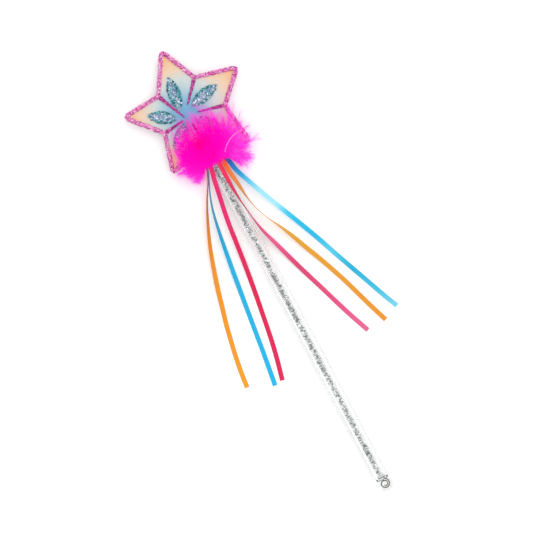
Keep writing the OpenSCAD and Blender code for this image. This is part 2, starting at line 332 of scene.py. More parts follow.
@dataclass(frozen=True)
class ClearPlastic(Finish):
    """Clear moulded acrylic with faint handling marks."""

    body: str = "fbfcfc"
    index: float = 1.49
    marks: float = 260.0
    gloss: Pair = (0.015, 0.07)

    def dress(self, box: Paintbox, shader: Node) -> None:
        """Makes a smooth clear body whose gloss is dulled along its marks."""
        marks = box.group(scuff_group(), Vector=box.place(), Scale=self.marks)
        box.settle(
            shader, Base_Color=paint(self.body), Transmission_Weight=1.0, IOR=self.index,
            Roughness=box.remap(marks, FULL, self.gloss),
        )


@dataclass(frozen=True)
class Foil(Finish):
    """Cut strips of metal foil, each with its own grey and a painted glint that makes it glow."""

    greys: Stops = ((0.0, "565658"), (0.26, "8e8e90"), (0.48, "c8c8c8"), (0.68, "ffffff"))
    painted_glint: float = 0.3
    metal: float = 0.2
    gloss: Pair = (0.45, 0.2)

    def dress(self, box: Paintbox, shader: Node) -> None:
        """Gives each strip its grey, a painted glint that makes it glow in that grey, and its own gloss."""
        tint = box.attribute("tint")
        grey = box.ramp(tint, self.greys, steps=True)
        # The emission is a painted glint: each strip glows in its own grey though no lamp lights it.
        box.settle(
            shader, Base_Color=grey, Emission_Color=grey, Emission_Strength=self.painted_glint, Metallic=self.metal,
            Roughness=box.remap(tint, FULL, self.gloss),
        )


@dataclass(frozen=True)
class GlitterGel(Finish):
    """The glue between glitter flakes, lumpy and glossy."""

    shades: Stops = ((0.0, "ac2688"), (0.45, "e454b2"), (1.0, "f9a6da"))
    blotches: float = 620.0
    contrast: float = 2.6
    gloss: Pair = (0.5, 0.28)
    lumps: float = 1400.0
    lump_depth: float = 0.12 * MM

    def dress(self, box: Paintbox, shader: Node) -> None:
        """Mottles the glue as buried flakes do, under a clear skin."""
        place = box.place()
        blotch = box.group(mottle_group(), Vector=place, Scale=self.blotches, Contrast=self.contrast)
        box.settle(
            shader, Base_Color=box.ramp(blotch, self.shades), Roughness=box.remap(blotch, FULL, self.gloss),
            Normal=box.bump(box.noise(place, self.lumps), self.lump_depth), Coat_Weight=0.35,
            Coat_Roughness=0.2,
        )


@dataclass(frozen=True)
class Flakes(Finish):
    """Glitter flakes of mixed colours, one colour each."""

    shades: Stops = (
        (0.0, "961a76"), (0.18, "dc46aa"), (0.42, "f894d2"), (0.72, "ffccec"), (0.91, "fff8fd"),
    )
    heart: Stops = ()
    reshuffle: float = 7.3

    def dress(self, box: Paintbox, shader: Node) -> None:
        """Picks each flake's colour by chance, and from the heart's colours well inside an edge."""
        tint = box.attribute("tint")
        colour = box.ramp(tint, self.shades, steps=True)
        if self.heart:
            inner = box.ramp(tint, self.heart, steps=True)
            chance = box.maths("FRACT", box.times(tint, self.reshuffle))
            chosen = box.maths("LESS_THAN", chance, box.attribute("heart"))
            colour = box.mix(chosen, colour, inner)
        box.settle(shader, Base_Color=colour, Metallic=0.35, Roughness=0.24)


@dataclass(frozen=True)
class OmbreFabric(Finish):
    """Sheer printed cloth that fades from the star's middle to its tips."""

    middle: Pair
    reach: float = 44 * MM
    clouds: float = 55.0
    drift: float = 10 * MM
    pitch: float = 0.28 * MM
    thread_depth: float = 0.04 * MM
    gloss: Pair = (0.62, 0.42)
    shades: Stops = (
        (0.0, "6fb2da"), (0.2, "82bbda"), (0.42, "b8d3da"), (0.56, "d6dcd8"), (0.74, "f0d3b4"),
        (1.0, "f6be8c"),
    )

    def dress(self, box: Paintbox, shader: Node) -> None:
        """Fades the print with the distance from the middle, over a fine weave."""
        place = box.place()
        drift = box.times(box.maths("SUBTRACT", box.noise(place, self.clouds), 0.5), self.drift)
        share = box.remap(box.maths("ADD", box.away(self.middle), drift), (0.0, self.reach))
        threads = box.group(weave_group(), Vector=place, Pitch=self.pitch)
        box.settle(
            shader, Base_Color=box.ramp(share, self.shades), Roughness=box.remap(threads, FULL, self.gloss),
            Normal=box.bump(threads, self.thread_depth, 0.6), Sheen_Weight=0.15, Sheen_Roughness=0.4,
        )


@dataclass(frozen=True)
class Plume(Finish):
    """Magenta down, deep in the middle of the puff and paler towards its edge, with a painted glow that
    brightens it where its barbs shade each other.
    """

    middle: Pair
    reach: float = 26 * MM
    spread: float = 0.62
    weights: tuple[tuple[str, float], ...] = (("quill", 0.14), ("along", 0.12), ("plume", 0.12))
    # Strength of the painted glow, an emission in the down's own colour.
    glow: float = 0.17
    shades: Stops = (
        (0.0, "ff00ac"), (0.26, "ff00b8"), (0.4, "ff04d2"), (0.62, "ff0cd8"), (0.8, "ff30e4"),
        (1.0, "ff84f2"),
    )

    def dress(self, box: Paintbox, shader: Node) -> None:
        """Mixes how far out in the puff a place lies with how far out on its barb, and with chance."""
        share = box.remap(box.away(self.middle), (0.0, self.reach), (0.0, self.spread))
        for name, weight in self.weights:
            share = box.maths("ADD", share, box.times(box.attribute(name), weight))
        colour = box.ramp(share, self.shades)
        # Emission in the down's colour is a painted glow: the down lights itself past the shade between its
        # barbs.
        box.settle(
            shader, Base_Color=colour, Emission_Color=colour, Emission_Strength=self.glow, Roughness=0.9,
            Specular_IOR_Level=0.0,
        )


@dataclass(frozen=True)
class Satin(Finish):
    """Woven satin ribbon whose colour changes along its length: its dye with painted sheen in the pale
    stretches, and streaks of painted sheen.
    """

    shades: Stops
    streaks: Point = (7.0, 26.0, 0.0)
    contrast: float = 1.6
    # How far the streaks pale the ribbon towards white, a painted sheen.
    fade: Pair = (0.0, 0.1)
    threads: Point = (165.0, 3.2, 0.0)
    pitch: float = 0.16
    thread_depth: float = 0.02 * MM
    gloss: Pair = (0.5, 0.34)

    def dress(self, box: Paintbox, shader: Node) -> None:
        """Runs the shades, dye with painted sheen, along the ribbon, with fine threads and drawn streaks
        that pale it as painted sheen.
        """
        strip = box.add("ShaderNodeUVMap", uv_map="strip")
        drawn = box.vectors("MULTIPLY", strip, self.streaks)
        streak = box.group(mottle_group(), Vector=drawn, Scale=1.0, Contrast=self.contrast)
        coloured = box.ramp(box.parts(strip)[0], self.shades)
        spaced = box.vectors("MULTIPLY", strip, self.threads)
        threads = box.group(weave_group(), Vector=spaced, Pitch=self.pitch)
        # The white mix along the streaks is painted sheen; the streaks also set the gloss.
        box.settle(
            shader, Base_Color=box.mix(box.remap(streak, (0.4, 1.0), self.fade), coloured, WHITE),
            Normal=box.bump(threads, self.thread_depth, 0.5), Roughness=box.remap(streak, FULL, self.gloss),
            Specular_IOR_Level=0.18,
        )


@dataclass(frozen=True)
class Thread(Finish):
    """Twisted thread or cord."""

    shades: Stops = ((0.0, "a8174a"), (1.0, "e8336f"))
    blotches: float = 1500.0
    contrast: float = 1.8
    depth: float = 0.05 * MM

    def dress(self, box: Paintbox, shader: Node) -> None:
        """Mottles the dye along the twist."""
        blotch = box.group(mottle_group(), Vector=box.place(), Scale=self.blotches, Contrast=self.contrast)
        coloured = box.ramp(blotch, self.shades)
        box.settle(shader, Base_Color=coloured, Normal=box.bump(blotch, self.depth), Roughness=0.7)


@dataclass(frozen=True)
class Moulded(Finish):
    """Plain moulded plastic or drawn wire, scuffed by use."""

    clean: str = "eef0ee"
    worn: str = "d5d7d4"
    metal: float = 0.0
    marks: float = 420.0
    gloss: Pair = (0.3, 0.55)

    def dress(self, box: Paintbox, shader: Node) -> None:
        """Dulls and greys the surface along its marks."""
        marks = box.group(scuff_group(), Vector=box.place(), Scale=self.marks)
        box.settle(
            shader, Base_Color=box.mix(marks, paint(self.clean), paint(self.worn)),
            Roughness=box.remap(marks, FULL, self.gloss), Metallic=self.metal,
        )


@dataclass(frozen=True)
class Paper(Finish):
    """The white floor, which stays white to the camera apart from shadows."""

    white: str = "fafafa"
    lift: float = 0.19
    through: float = 0.26

    def dress(self, box: Paintbox, shader: Node) -> None:
        """Gives a matt white that the camera sees a little lighter, most of all through clear plastic."""
        rays = box.add("ShaderNodeLightPath").outputs
        seen = box.maths("MAXIMUM", rays["Is Camera Ray"], rays["Is Glossy Ray"])
        clear = box.times(rays["Is Transmission Ray"], self.through)
        glow = box.maths("MAXIMUM", box.times(seen, self.lift), clear)
        box.settle(
            shader, Base_Color=paint(self.white), Roughness=0.9, Specular_IOR_Level=0.0,
            Emission_Color=WHITE, Emission_Strength=glow,
        )


class Recipe:
    """A Geometry Nodes tree with named inputs, whose result becomes a plain mesh."""

    def __init__(self, name: str) -> None:
        """Starts a tree that takes and gives geometry."""
        self.tree = bpy.data.node_groups.new(name, "GeometryNodeTree")
        self.bench = Bench(self.tree)
        for way in ("INPUT", "OUTPUT"):
            self.tree.interface.new_socket("Geometry", in_out=way, socket_type="NodeSocketGeometry")
        self.source = self.bench.add("NodeGroupInput")
        self.sink = self.bench.add("NodeGroupOutput")

    def sizes(self, **kinds: str) -> list[NodeSocket]:
        """Adds named inputs, with _ for a space, and gives them to the tree's nodes.

        Args:
            kinds: The kind of each input's socket.

        Returns:
            The inputs' sockets, in order.
        """
        names = [name.replace("_", " ") for name in kinds]
        for name, kind in zip(names, kinds.values()):
            self.tree.interface.new_socket(name, in_out="INPUT", socket_type=f"NodeSocket{kind}")
        return [self.source.outputs[name] for name in names]

    def chance(self, low: Any, high: Any, seed: int) -> NodeSocket:
        """Gives a random value or vector between two limits."""
        kind, tail, number = ("FLOAT_VECTOR", "", 0) if isinstance(low, tuple) else ("FLOAT", "_001", 1)
        inputs = {f"Min{tail}": low, f"Max{tail}": high, "Seed": seed}
        return self.bench.add("FunctionNodeRandomValue", inputs, data_type=kind).outputs[number]

    def note(self, geometry: Any, name: str, value: Any, domain: str, kind: str = "FLOAT") -> Node:
        """Writes a value onto the geometry under a name that finishes can read."""
        inputs = {"Geometry": geometry, "Name": name, "Value": value}
        return self.bench.add("GeometryNodeStoreNamedAttribute", inputs, data_type=kind, domain=domain)

    def read(self, name: str) -> NodeSocket:
        """Reads a value that was written onto the geometry."""
        inputs = {"Name": name}
        return self.bench.add("GeometryNodeInputNamedAttribute", inputs, data_type="FLOAT").outputs[0]

    def aimed(self, vector: Any) -> Node:
        """Gives the rotation that turns Z towards a vector."""
        return self.bench.add("FunctionNodeAlignRotationToVector", {"Vector": vector}, axis="Z")

    def turned(self, rotation: Any, by: Any) -> Node:
        """Turns a rotation further about its own axes by Euler angles."""
        angles = self.bench.add("FunctionNodeEulerToRotation", {0: by})
        inputs = {"Rotation": rotation, "Rotate By": angles}
        return self.bench.add("FunctionNodeRotateRotation", inputs, rotation_space="LOCAL")

    def placed(self, points: Any, shape: Any, rotation: Any, scale: Any, chosen: Any = True) -> Node:
        """Places a shape on the chosen points."""
        inputs = {"Points": points, "Selection": chosen, "Instance": shape, "Rotation": rotation}
        return self.bench.add("GeometryNodeInstanceOnPoints", inputs | {"Scale": scale})

    def joined(self, *shapes: Any) -> Node:
        """Puts shapes together."""
        whole = self.bench.add("GeometryNodeJoinGeometry")
        for shape in shapes:
            self.bench.join(shape, whole.inputs[0])
        return whole

    def realized(self, geometry: Any) -> Node:
        """Makes plain geometry of what was placed."""
        return self.bench.add("GeometryNodeRealizeInstances", {0: geometry})

    def coated(self, geometry: Any, finish: Any) -> Node:
        """Sets the geometry's material."""
        return self.bench.add("GeometryNodeSetMaterial", {"Geometry": geometry, "Material": finish})

    def end(self, geometry: Any) -> None:
        """Puts the result out."""
        self.bench.join(geometry, self.sink.inputs[0])

    def run(self, piece: Piece, **values: Any) -> None:
        """Runs the tree on a piece.

        Args:
            piece: The mesh object that gets the result.
            values: The named inputs, with _ for a space.
        """
        modifier = piece.modifiers.new(self.tree.name, "NODES")
        modifier.node_group = self.tree
        for item in self.tree.interface.items_tree:
            key = item.name.replace(" ", "_")
            if item.in_out == "INPUT" and key in values:
                modifier[item.identifier] = values[key]
        make_plain(piece)


def make_plain(piece: Piece) -> None:
    """Turns a piece with its modifiers into a plain mesh."""
    graph = bpy.context.evaluated_depsgraph_get()
    shown = piece.evaluated_get(graph)
    mesh = bpy.data.meshes.new_from_object(shown, preserve_all_data_layers=True, depsgraph=graph)
    piece.modifiers.clear()
    piece.data = mesh


def new_piece(name: str, points: Iterable, faces: Iterable = (), edges: Iterable = ()) -> Piece:
    """Makes a mesh object at the origin.

    Args:
        name: The piece's name.
        points: Its vertices, in metres.
        faces: Vertex numbers of each face.
        edges: Vertex numbers of loose edges.

    Returns:
        The new object.
    """
    mesh = bpy.data.meshes.new(name)
    mesh.from_pydata([tuple(p) for p in points], list(edges), list(faces))
    piece = bpy.data.objects.new(name, mesh)
    bpy.context.collection.objects.link(piece)
    return piece


def merged_copy(node: Piece, name: str) -> Piece:
    """Copies a CAD node's mesh into a new piece and merges its loose triangles."""
    piece = bpy.data.objects.new(name, node.data.copy())
    piece.data.name = name
    piece.data.materials.clear()
    bpy.context.collection.objects.link(piece)
    close_up(piece)
    return piece


def close_up(piece: Piece, sharp: float = 40.0) -> None:
    """Merges doubles, turns faces outwards and smooths all but the sharp edges.

    Args:
        piece: The piece.
        sharp: The angle in degrees from which an edge is sharp.
    """
    together = 0.0005 * MM
    shell = bmesh.new()
    shell.from_mesh(piece.data)
    bmesh.ops.remove_doubles(shell, verts=shell.verts, dist=together)
    bmesh.ops.recalc_face_normals(shell, faces=shell.faces)
    for face in shell.faces:
        face.smooth = True
    shell.to_mesh(piece.data)
    shell.free()
    piece.data.set_sharp_from_angle(angle=math.radians(sharp))


def circle(sides: int) -> list[Pair]:
    """Gives the corners of a round with radius 1."""
    turns = [math.tau * i / sides for i in range(sides)]
    return [(math.cos(turn), math.sin(turn)) for turn in turns]


def skin(rings: int, around: int, closed: bool, capped: bool) -> list[tuple[int, ...]]:
    """Joins rings of points into faces.

    Args:
        rings: How many rings there are, one after another.
        around: How many points each ring has.
        closed: True where the last ring joins the first.
        capped: True where the two end rings are filled.

    Returns:
        The faces by point number.
    """
    faces: list[tuple[int, ...]] = []
    for ring in range(rings if closed else rings - 1):
        here, there = ring * around, (ring + 1) % rings * around
        for i in range(around):
            j = (i + 1) % around
            faces.append((here + i, here + j, there + j, there + i))
    if capped:
        faces += [tuple(range(around)), tuple(range((rings - 1) * around, rings * around))]
    return faces


def heading_at(path: Sequence[Vector], i: int, ring: bool = False) -> Vector:
    """Gives the direction in which a path, or a ring, runs at one of its points."""
    last = len(path) - 1
    ahead = path[(i + 1) % len(path)] if ring else path[min(i + 1, last)]
    behind = path[i - 1] if ring else path[max(i - 1, 0)]
    return (ahead - behind).normalized()


def lathe(name: str, profile: Sequence[Pair], axis: Vector, ring: bool) -> Piece:
    """Turns a profile round a line along Y.

    Args:
        name: The piece's name.
        profile: Places along Y and radii, in order.
        axis: Any point on the line.
        ring: True where the profile closes on itself, as a tube's does.

    Returns:
        The turned piece.
    """
    sides = 96
    points = [(axis.x + r * c, y, axis.z + r * s) for y, r in profile for c, s in circle(sides)]
    piece = new_piece(name, points, skin(len(profile), sides, closed=ring, capped=False))
    close_up(piece)
    return piece


def strand(
    path: Sequence[Vector], radii: Sequence[float], sides: int, ring: bool = False
) -> tuple[list, list]:
    """Sweeps a round strand along a path.

    Args:
        path: The centre line's points.
        radii: The radius at each point.
        sides: How many sides the strand has.
        ring: True where the path closes on itself.

    Returns:
        The vertices, and the faces by vertex number.
    """
    points = []
    side = UP
    for i, middle in enumerate(path):
        along = heading_at(path, i, ring)
        side = (side - along * side.dot(along)).normalized()
        up = along.cross(side)
        points += [middle + radii[i] * (side * c + up * s) for c, s in circle(sides)]
    return points, skin(len(path), sides, closed=ring, capped=not ring)


def plied(name: str, path: Sequence[Vector], ply: float, turns: int, ring: bool) -> Piece:
    """Twists two strands round each other along a path.

    Args:
        name: The piece's name.
        path: The cord's centre line.
        ply: The radius of one strand.
        turns: How many times the pair twists.
        ring: True where the path closes on itself.

    Returns:
        The twisted piece.
    """
    count = len(path)
    side = Vector((0.0, 1.0, 0.0)) if ring else UP
    points: list = []
    faces: list = []
    for start in (0.0, math.pi):
        line = []
        for i, middle in enumerate(path):
            turn = start + math.tau * turns * i / (count if ring else count - 1)
            out = heading_at(path, i, ring).cross(side)
            line.append(middle + ply * (side * math.cos(turn) + out * math.sin(turn)))
        new_points, new_faces = strand(line, [ply] * count, sides=6, ring=ring)
        faces += [tuple(n + len(points) for n in face) for face in new_faces]
        points += new_points
    piece = new_piece(name, points, faces)
    close_up(piece, sharp=60.0)
    return piece


def mesh_points(piece: Piece) -> np.ndarray:
    """Gives a mesh's vertices as rows of x, y and z."""
    rows = np.empty(len(piece.data.vertices) * 3)
    piece.data.vertices.foreach_get("co", rows)
    return rows.reshape(-1, 3)


def mark_points(piece: Piece, name: str, values: Sequence[float]) -> None:
    """Writes a value onto each vertex under a name that finishes can read."""
    piece.data.attributes.new(name, "FLOAT", "POINT").data.foreach_set("value", values)


def within(rows: np.ndarray, corners: Sequence) -> np.ndarray:
    """Tells which places lie inside an outline, seen from above.

    Args:
        rows: The places, one in each row.
        corners: The outline's corners, in order.

    Returns:
        True or False for each place.
    """
    never_zero = 1e-12
    inside = np.zeros(len(rows), bool)
    x, y = rows[:, 0], rows[:, 1]
    for (ax, ay), (bx, by) in zip(corners, [*corners[1:], corners[0]]):
        spans = (ay > y) != (by > y)
        inside ^= spans & (x < ax + (y - ay) * (bx - ax) / ((by - ay) or never_zero))
    return inside


def redress(node: Piece, finish: Finish) -> None:
    """Gives a CAD node that stays in view its finish."""
    node.data.materials.clear()
    node.data.materials.append(finish.material())


def finished(piece: Piece, node: str, finish: Finish | None = None, body: str = WAND) -> None:
    """Puts a piece on its body in place of its CAD node and reports it.

    Args:
        piece: The piece.
        node: The CAD node that it stands for.
        finish: Its finish, unless its mesh has its materials already.
        body: The body that it rides on, or nothing where it is blended.
    """
    if finish:
        piece.data.materials.append(finish.material())
    if body:
        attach(piece, body)
    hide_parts(node)
    log.info("%s: %d faces for %s", piece.name, len(piece.data.polygons), node)


@dataclass
class Stick:
    """The clear tube with its end ball, the tinsel inside it and the plug in its mouth."""

    nodes: dict[str, Piece]
    rim: float = 0.3 * MM
    slivers: int = 3800
    sliver_w: float = 0.44 * MM
    tinsel_reach: float = 2.45 * MM
    tinsel_shift: float = -0.45 * MM
    loop_r: float = 2.5 * MM
    loop_shrink: float = 0.55
    loop_wire: float = 0.3 * MM
    loop_turns: float = 1.6
    core_ply: float = 0.22 * MM
    core_pitch: float = 3.2 * MM
    clear: Finish = ClearPlastic("Clear acrylic")
    foil: Finish = Foil("Silver foil")
    white: Finish = Moulded("White plastic")
    loop_metal: Finish = Moulded("Loop wire", "6b675e", "3e3b35", 0.6)
    core_metal: Finish = Moulded("Core wire", "c9cbce", "9fa1a4", 1.0)

    def __post_init__(self) -> None:
        """Takes the axis, the ends and the wall from the frame."""
        low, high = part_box("wand_tube")
        self.axis = (low + high) / 2
        self.foot, self.mouth = low.y, high.y
        self.bore = float(self.radii(mesh_points(self.nodes["wand_tube"])).min())
        self.outer = (high.x - low.x) / 2

    def radii(self, rows: np.ndarray) -> np.ndarray:
        """Measures how far places lie from the stick's axis."""
        return np.hypot(rows[:, 0] - self.axis.x, rows[:, 2] - self.axis.z)

    def build(self) -> None:
        """Makes and dresses every piece of the stick."""
        self.tube()
        self.ball()
        self.tinsel()
        redress(self.nodes["neck_plug"], self.white)

    def rounded(self, y: float, inwards: int) -> list[Pair]:
        """Gives a tube end's round rim from the outside to the bore, with a short stretch of each wall.

        The stretches keep the rim's slanting normals off the long walls, which would bend light wrongly.

        Args:
            y: Where the tube ends.
            inwards: Which way along Y the tube lies, 1 or -1.

        Returns:
            Places along Y and radii, in order.
        """
        quarter = [math.radians(15 * i) for i in range(7)]
        back = inwards * self.rim
        outside = [
            (y + back * (1 - math.sin(a)), self.outer - self.rim * (1 - math.cos(a))) for a in quarter
        ]
        inside = [
            (y + back * (1 - math.cos(a)), self.bore + self.rim * (1 - math.sin(a))) for a in quarter
        ]
        stretch = y + 2 * back
        return [(stretch, self.outer), *outside, *inside, (stretch, self.bore)]

    def tube(self) -> None:
        """Turns the tube with round rims."""
        profile = self.rounded(self.mouth, -1) + self.rounded(self.foot, 1)[::-1]
        piece = lathe("clear_tube", profile, self.axis, ring=True)
        piece.visible_shadow = False
        finished(piece, "wand_tube", self.clear)

    def ball(self) -> None:
        """Turns the end ball with its spigot."""
        steps = 40
        low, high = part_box("end_ball")
        radius = (high.x - low.x) / 2
        centre = low.y + radius
        rows = mesh_points(self.nodes["end_ball"])
        spigot = float(self.radii(rows[rows[:, 1] > self.foot + self.rim]).max())
        neck = math.asin(spigot / radius)
        arcs = [math.pi - (math.pi - neck) * i / steps for i in range(steps + 1)]
        profile = [(centre + radius * math.cos(a), radius * math.sin(a)) for a in arcs]
        profile += [(high.y - self.rim, spigot), (high.y, spigot - self.rim), (high.y, 0.0)]
        piece = lathe("clear_ball", profile, self.axis, ring=False)
        piece.visible_shadow = False
        finished(piece, "end_ball", self.clear)
        self.loop(centre)

    def loop(self, centre: float) -> None:
        """Coils the tinsel wire's end inside the clear ball.

        Args:
            centre: The ball's middle along Y.
        """
        steps = 60
        path = []
        for i in range(steps + 1):
            share = i / steps
            turn = math.tau * self.loop_turns * share
            radius = self.loop_r * (1 - self.loop_shrink * share)
            x = self.axis.x + radius * math.sin(turn)
            z = self.axis.z + self.loop_wire * (4 * share - 2)
            path.append(Vector((x, centre + radius * math.cos(turn), z)))
        piece = new_piece("tinsel_end_loop", *strand(path, [self.loop_wire] * len(path), sides=8))
        close_up(piece, sharp=60.0)
        finished(piece, "tinsel_strand", self.loop_metal)

    def tinsel(self) -> None:
        """Makes the tinsel: foil slivers set all round a twisted wire core."""
        per_turn = 10
        low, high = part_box("tinsel_strand")
        piece = new_piece("tinsel_slivers", [(self.axis.x, low.y, self.axis.z)])
        start = Vector((self.axis.x + self.tinsel_shift, low.y + self.sliver_w, self.axis.z))
        stop = Vector((start.x, high.y - self.sliver_w, start.z))
        self.sliver_recipe().run(
            piece, Count=self.slivers, Start=start, Stop=stop, Reach=self.tinsel_reach,
            Width=self.sliver_w, Finish=self.foil.material(),
        )
        finished(piece, "tinsel_strand")
        count = int((stop.y - start.y) / self.core_pitch * per_turn)
        path = [start.lerp(stop, i / count) for i in range(count + 1)]
        core = plied("tinsel_core", path, self.core_ply, int(count / per_turn), ring=False)
        finished(core, "tinsel_strand", self.core_metal)

    @staticmethod
    def sliver_recipe() -> Recipe:
        """Gives the tree that sets flat foil slivers round a line."""
        recipe = Recipe("Tinsel slivers")
        bench = recipe.bench
        count, start, stop, reach, width, finish = recipe.sizes(
            Count="Int", Start="Vector", Stop="Vector", Reach="Float", Width="Float", Finish="Material",
        )
        run = bench.vectors("SUBTRACT", stop, start)
        place = bench.vectors("ADD", start, bench.scaled(run, recipe.chance(0.0, 1.0, 11)))
        points = bench.add("GeometryNodePoints", {"Count": count, "Position": place})
        aim = recipe.aimed(recipe.chance((-1.0, -0.5, -1.0), (1.0, 0.5, 1.0), 12))
        rotation = recipe.turned(aim, bench.xyz(z=recipe.chance(0.0, math.tau, 13)))
        tip = bench.times(width, 0.6)
        inputs = {"Vertices": 4, "Radius Top": tip, "Radius Bottom": width, "Depth": reach}
        blade = bench.add("GeometryNodeMeshCone", inputs)
        flat = bench.add("GeometryNodeTransform", {"Geometry": blade, "Scale": (1.0, 0.12, 1.0)})
        length = bench.xyz(1.0, 1.0, recipe.chance(0.7, 1.0, 14))
        laid = recipe.placed(points, flat, rotation, length)
        tinted = recipe.note(laid, "tint", recipe.chance(0.0, 1.0, 15), "INSTANCE")
        recipe.end(recipe.coated(recipe.realized(tinted), finish))
        return recipe


@dataclass(frozen=True)
class Glitter:
    """One kind of glitter line: its glue and flakes, how large and close they lie, and its mesh size."""

    slot: str
    gel: GlitterGel
    flakes: Flakes
    flake: float
    density: float
    grain: float


BEAD = Glitter(
    "pink_glitter", GlitterGel("Pink glitter gel"), Flakes("Pink flakes"),
    flake=0.6 * MM, density=2.1e6, grain=0.24 * MM,
)
RIB = Glitter(
    "pink_glitter",
    GlitterGel("Deep pink gel", ((0.0, "80106c"), (0.5, "bc2892"), (1.0, "e468b8"))),
    Flakes("Deep pink flakes", (
        (0.0, "700e60"), (0.3, "b41e90"), (0.62, "e04eb2"), (0.86, "ff9edc"), (0.95, "fff0fa"),
    )),
    flake=0.52 * MM, density=2.4e6, grain=0.2 * MM,
)
PETAL = Glitter(
    "teal_glitter",
    GlitterGel("Teal glitter gel", ((0.0, "1d4f63"), (0.5, "3b8f9c"), (1.0, "9fcfda"))),
    Flakes(
        "Teal flakes",
        ((0.0, "124f60"), (0.34, "21848f"), (0.64, "44aeb4"), (0.84, "90d4d8"), (0.94, "ffffff")),
        ((0.0, "6a74a6"), (0.26, "86b4c6"), (0.52, "b2d2de"), (0.74, "cac2e4"), (0.88, "ffffff")),
    ),
    flake=0.7 * MM, density=1.9e6, grain=0.2 * MM,
)


@dataclass
class Star:
    """The wire star with a printed cloth on each side, edged and ribbed with glitter."""

    nodes: dict[str, Piece]
    neck: float
    axis_x: float
    reach: float = 39.3 * MM
    lean: float = 2.2
    rows: int = 26
    edge_steps: int = 8
    pucker: float = 0.05 * MM
    lump: float = 0.22 * MM
    flat: Pair = (91 * MM, 89 * MM)
    cut_area: float = 4.0e-3
    print_shift: Pair = (-2.6 * MM, -0.6 * MM)
    steel: Finish = Moulded("Steel wire", "b9bcc0", "8d9094", 1.0)

    def __post_init__(self) -> None:
        """Works out the star's middle, which leans off the stick's line."""
        turn = math.radians(self.lean)
        x = self.axis_x + self.reach * math.sin(turn)
        self.middle = Vector((x, self.neck + self.reach * math.cos(turn)))
        self.fabric = OmbreFabric("Ombre fabric", middle=tuple(self.middle + Vector(self.print_shift)))

    def build(self) -> None:
        """Makes and dresses every piece of the star."""
        redress(self.nodes["star_wire"], self.steel)
        for side in Side:
            self.cloth(side)
        recipe = self.glitter_recipe()
        for side in Side:
            self.trim(recipe, f"edge_bead_{side.name.lower()}", BEAD, 5 + side.value, side)
        for number in range(1, 6):
            self.trim(recipe, f"rib_{number}", RIB, 20 + number)
            self.trim(recipe, f"petal_{number}", PETAL, 40 + number)

    def outline(self) -> list[Vector]:
        """Gives the cloth's corners in order round the middle."""
        rows = mesh_points(self.nodes["star_front_skin"])
        corners = {(round(x, 6), round(y, 6)) for x, y, _ in rows}
        spokes = [Vector(c) - self.middle for c in corners]
        return sorted(spokes, key=lambda s: math.atan2(s.y, s.x))

    def cloth(self, side: Side) -> None:
        """Makes one cloth as a thin closed sheet with faint puckers.

        Args:
            side: Which face of the star it covers.
        """
        node = f"star_{side.name.lower()}_skin"
        around_wave, outward_wave, slant = 0.9, 0.7, 0.21
        low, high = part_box(node)
        corners = self.outline()
        edge = []
        for here, there in zip(corners, corners[1:] + corners[:1]):
            edge += [here.lerp(there, i / self.edge_steps) for i in range(self.edge_steps)]
        around = len(edge)
        points, faces = [], []
        for level in (low.z + self.pucker, high.z - self.pucker):
            points.append((*self.middle, level))
            for row in range(1, self.rows + 1):
                share = row / self.rows
                for i, spoke in enumerate(edge):
                    wave = math.sin(i * around_wave) * math.sin(row * outward_wave + i * slant)
                    ripple = wave * share**3
                    points.append((*(self.middle + spoke * share), level + self.pucker * ripple))
        half = len(points) // 2
        rim = 1 + (self.rows - 1) * around
        for start in (0, half):
            for i in range(around):
                j = (i + 1) % around
                faces.append((start, start + 1 + i, start + 1 + j))
                for row in range(self.rows - 1):
                    here, there = start + 1 + row * around, start + 1 + (row + 1) * around
                    faces.append((here + i, there + i, there + j, here + j))
        for i in range(around):
            j = (i + 1) % around
            faces.append((rim + i, half + rim + i, half + rim + j, rim + j))
        piece = new_piece(f"star_cloth_{side.name.lower()}", points, faces)
        close_up(piece)
        finished(piece, node, self.fabric)

    def trim(self, recipe: Recipe, node: str, kind: Glitter, seed: int, side: Side = Side.FRONT) -> None:
        """Makes one line or leaf of glitter glue from the form of its CAD solid.

        Args:
            recipe: The tree that lays the flakes.
            node: The CAD node whose form it takes.
            kind: Its kind of glitter.
            seed: The seed for its flakes.
            side: Which face of the star it lies on.
        """
        piece = merged_copy(self.nodes[node], f"glitter_{node}")
        rows = mesh_points(piece)
        remesh = piece.modifiers.new("Grain", "REMESH")
        remesh.mode = "VOXEL"
        remesh.voxel_size = kind.grain
        make_plain(piece)
        if kind.flakes.heart:
            self.mark_heart(piece, rows)
        recipe.run(
            piece, Lump=self.lump, Flake=kind.flake, Density=kind.density, Facing=float(side.value),
            Seed=seed, Gel=kind.gel.material(), Flake_finish=kind.flakes.material(),
        )
        finished(piece, node)

    @staticmethod
    def mark_heart(piece: Piece, corners: np.ndarray) -> None:
        """Marks how far inside its edge each place of a petal lies, from 0 to 1.

        Args:
            piece: The petal.
            corners: The vertices of its CAD solid, one in each row.
        """
        roundness, narrowest = 1.6, 0.05
        border, fade, most = 0.78, 2.6, 0.92
        spread = corners[:, :2] - corners[:, :2].mean(0)
        _, _, axes = np.linalg.svd(spread, full_matrices=False)
        local = (mesh_points(piece)[:, :2] - corners[:, :2].mean(0)) @ axes.T
        halves = np.abs(spread @ axes.T).max(0)
        along = np.clip(np.abs(local[:, 0]) / halves[0], 0, 1)
        across = np.abs(local[:, 1]) / (halves[1] * np.sqrt(np.maximum(1 - along**roundness, narrowest)))
        heart = np.clip((border - across) * fade, 0, most)
        mark_points(piece, "heart", heart.astype(np.float32))

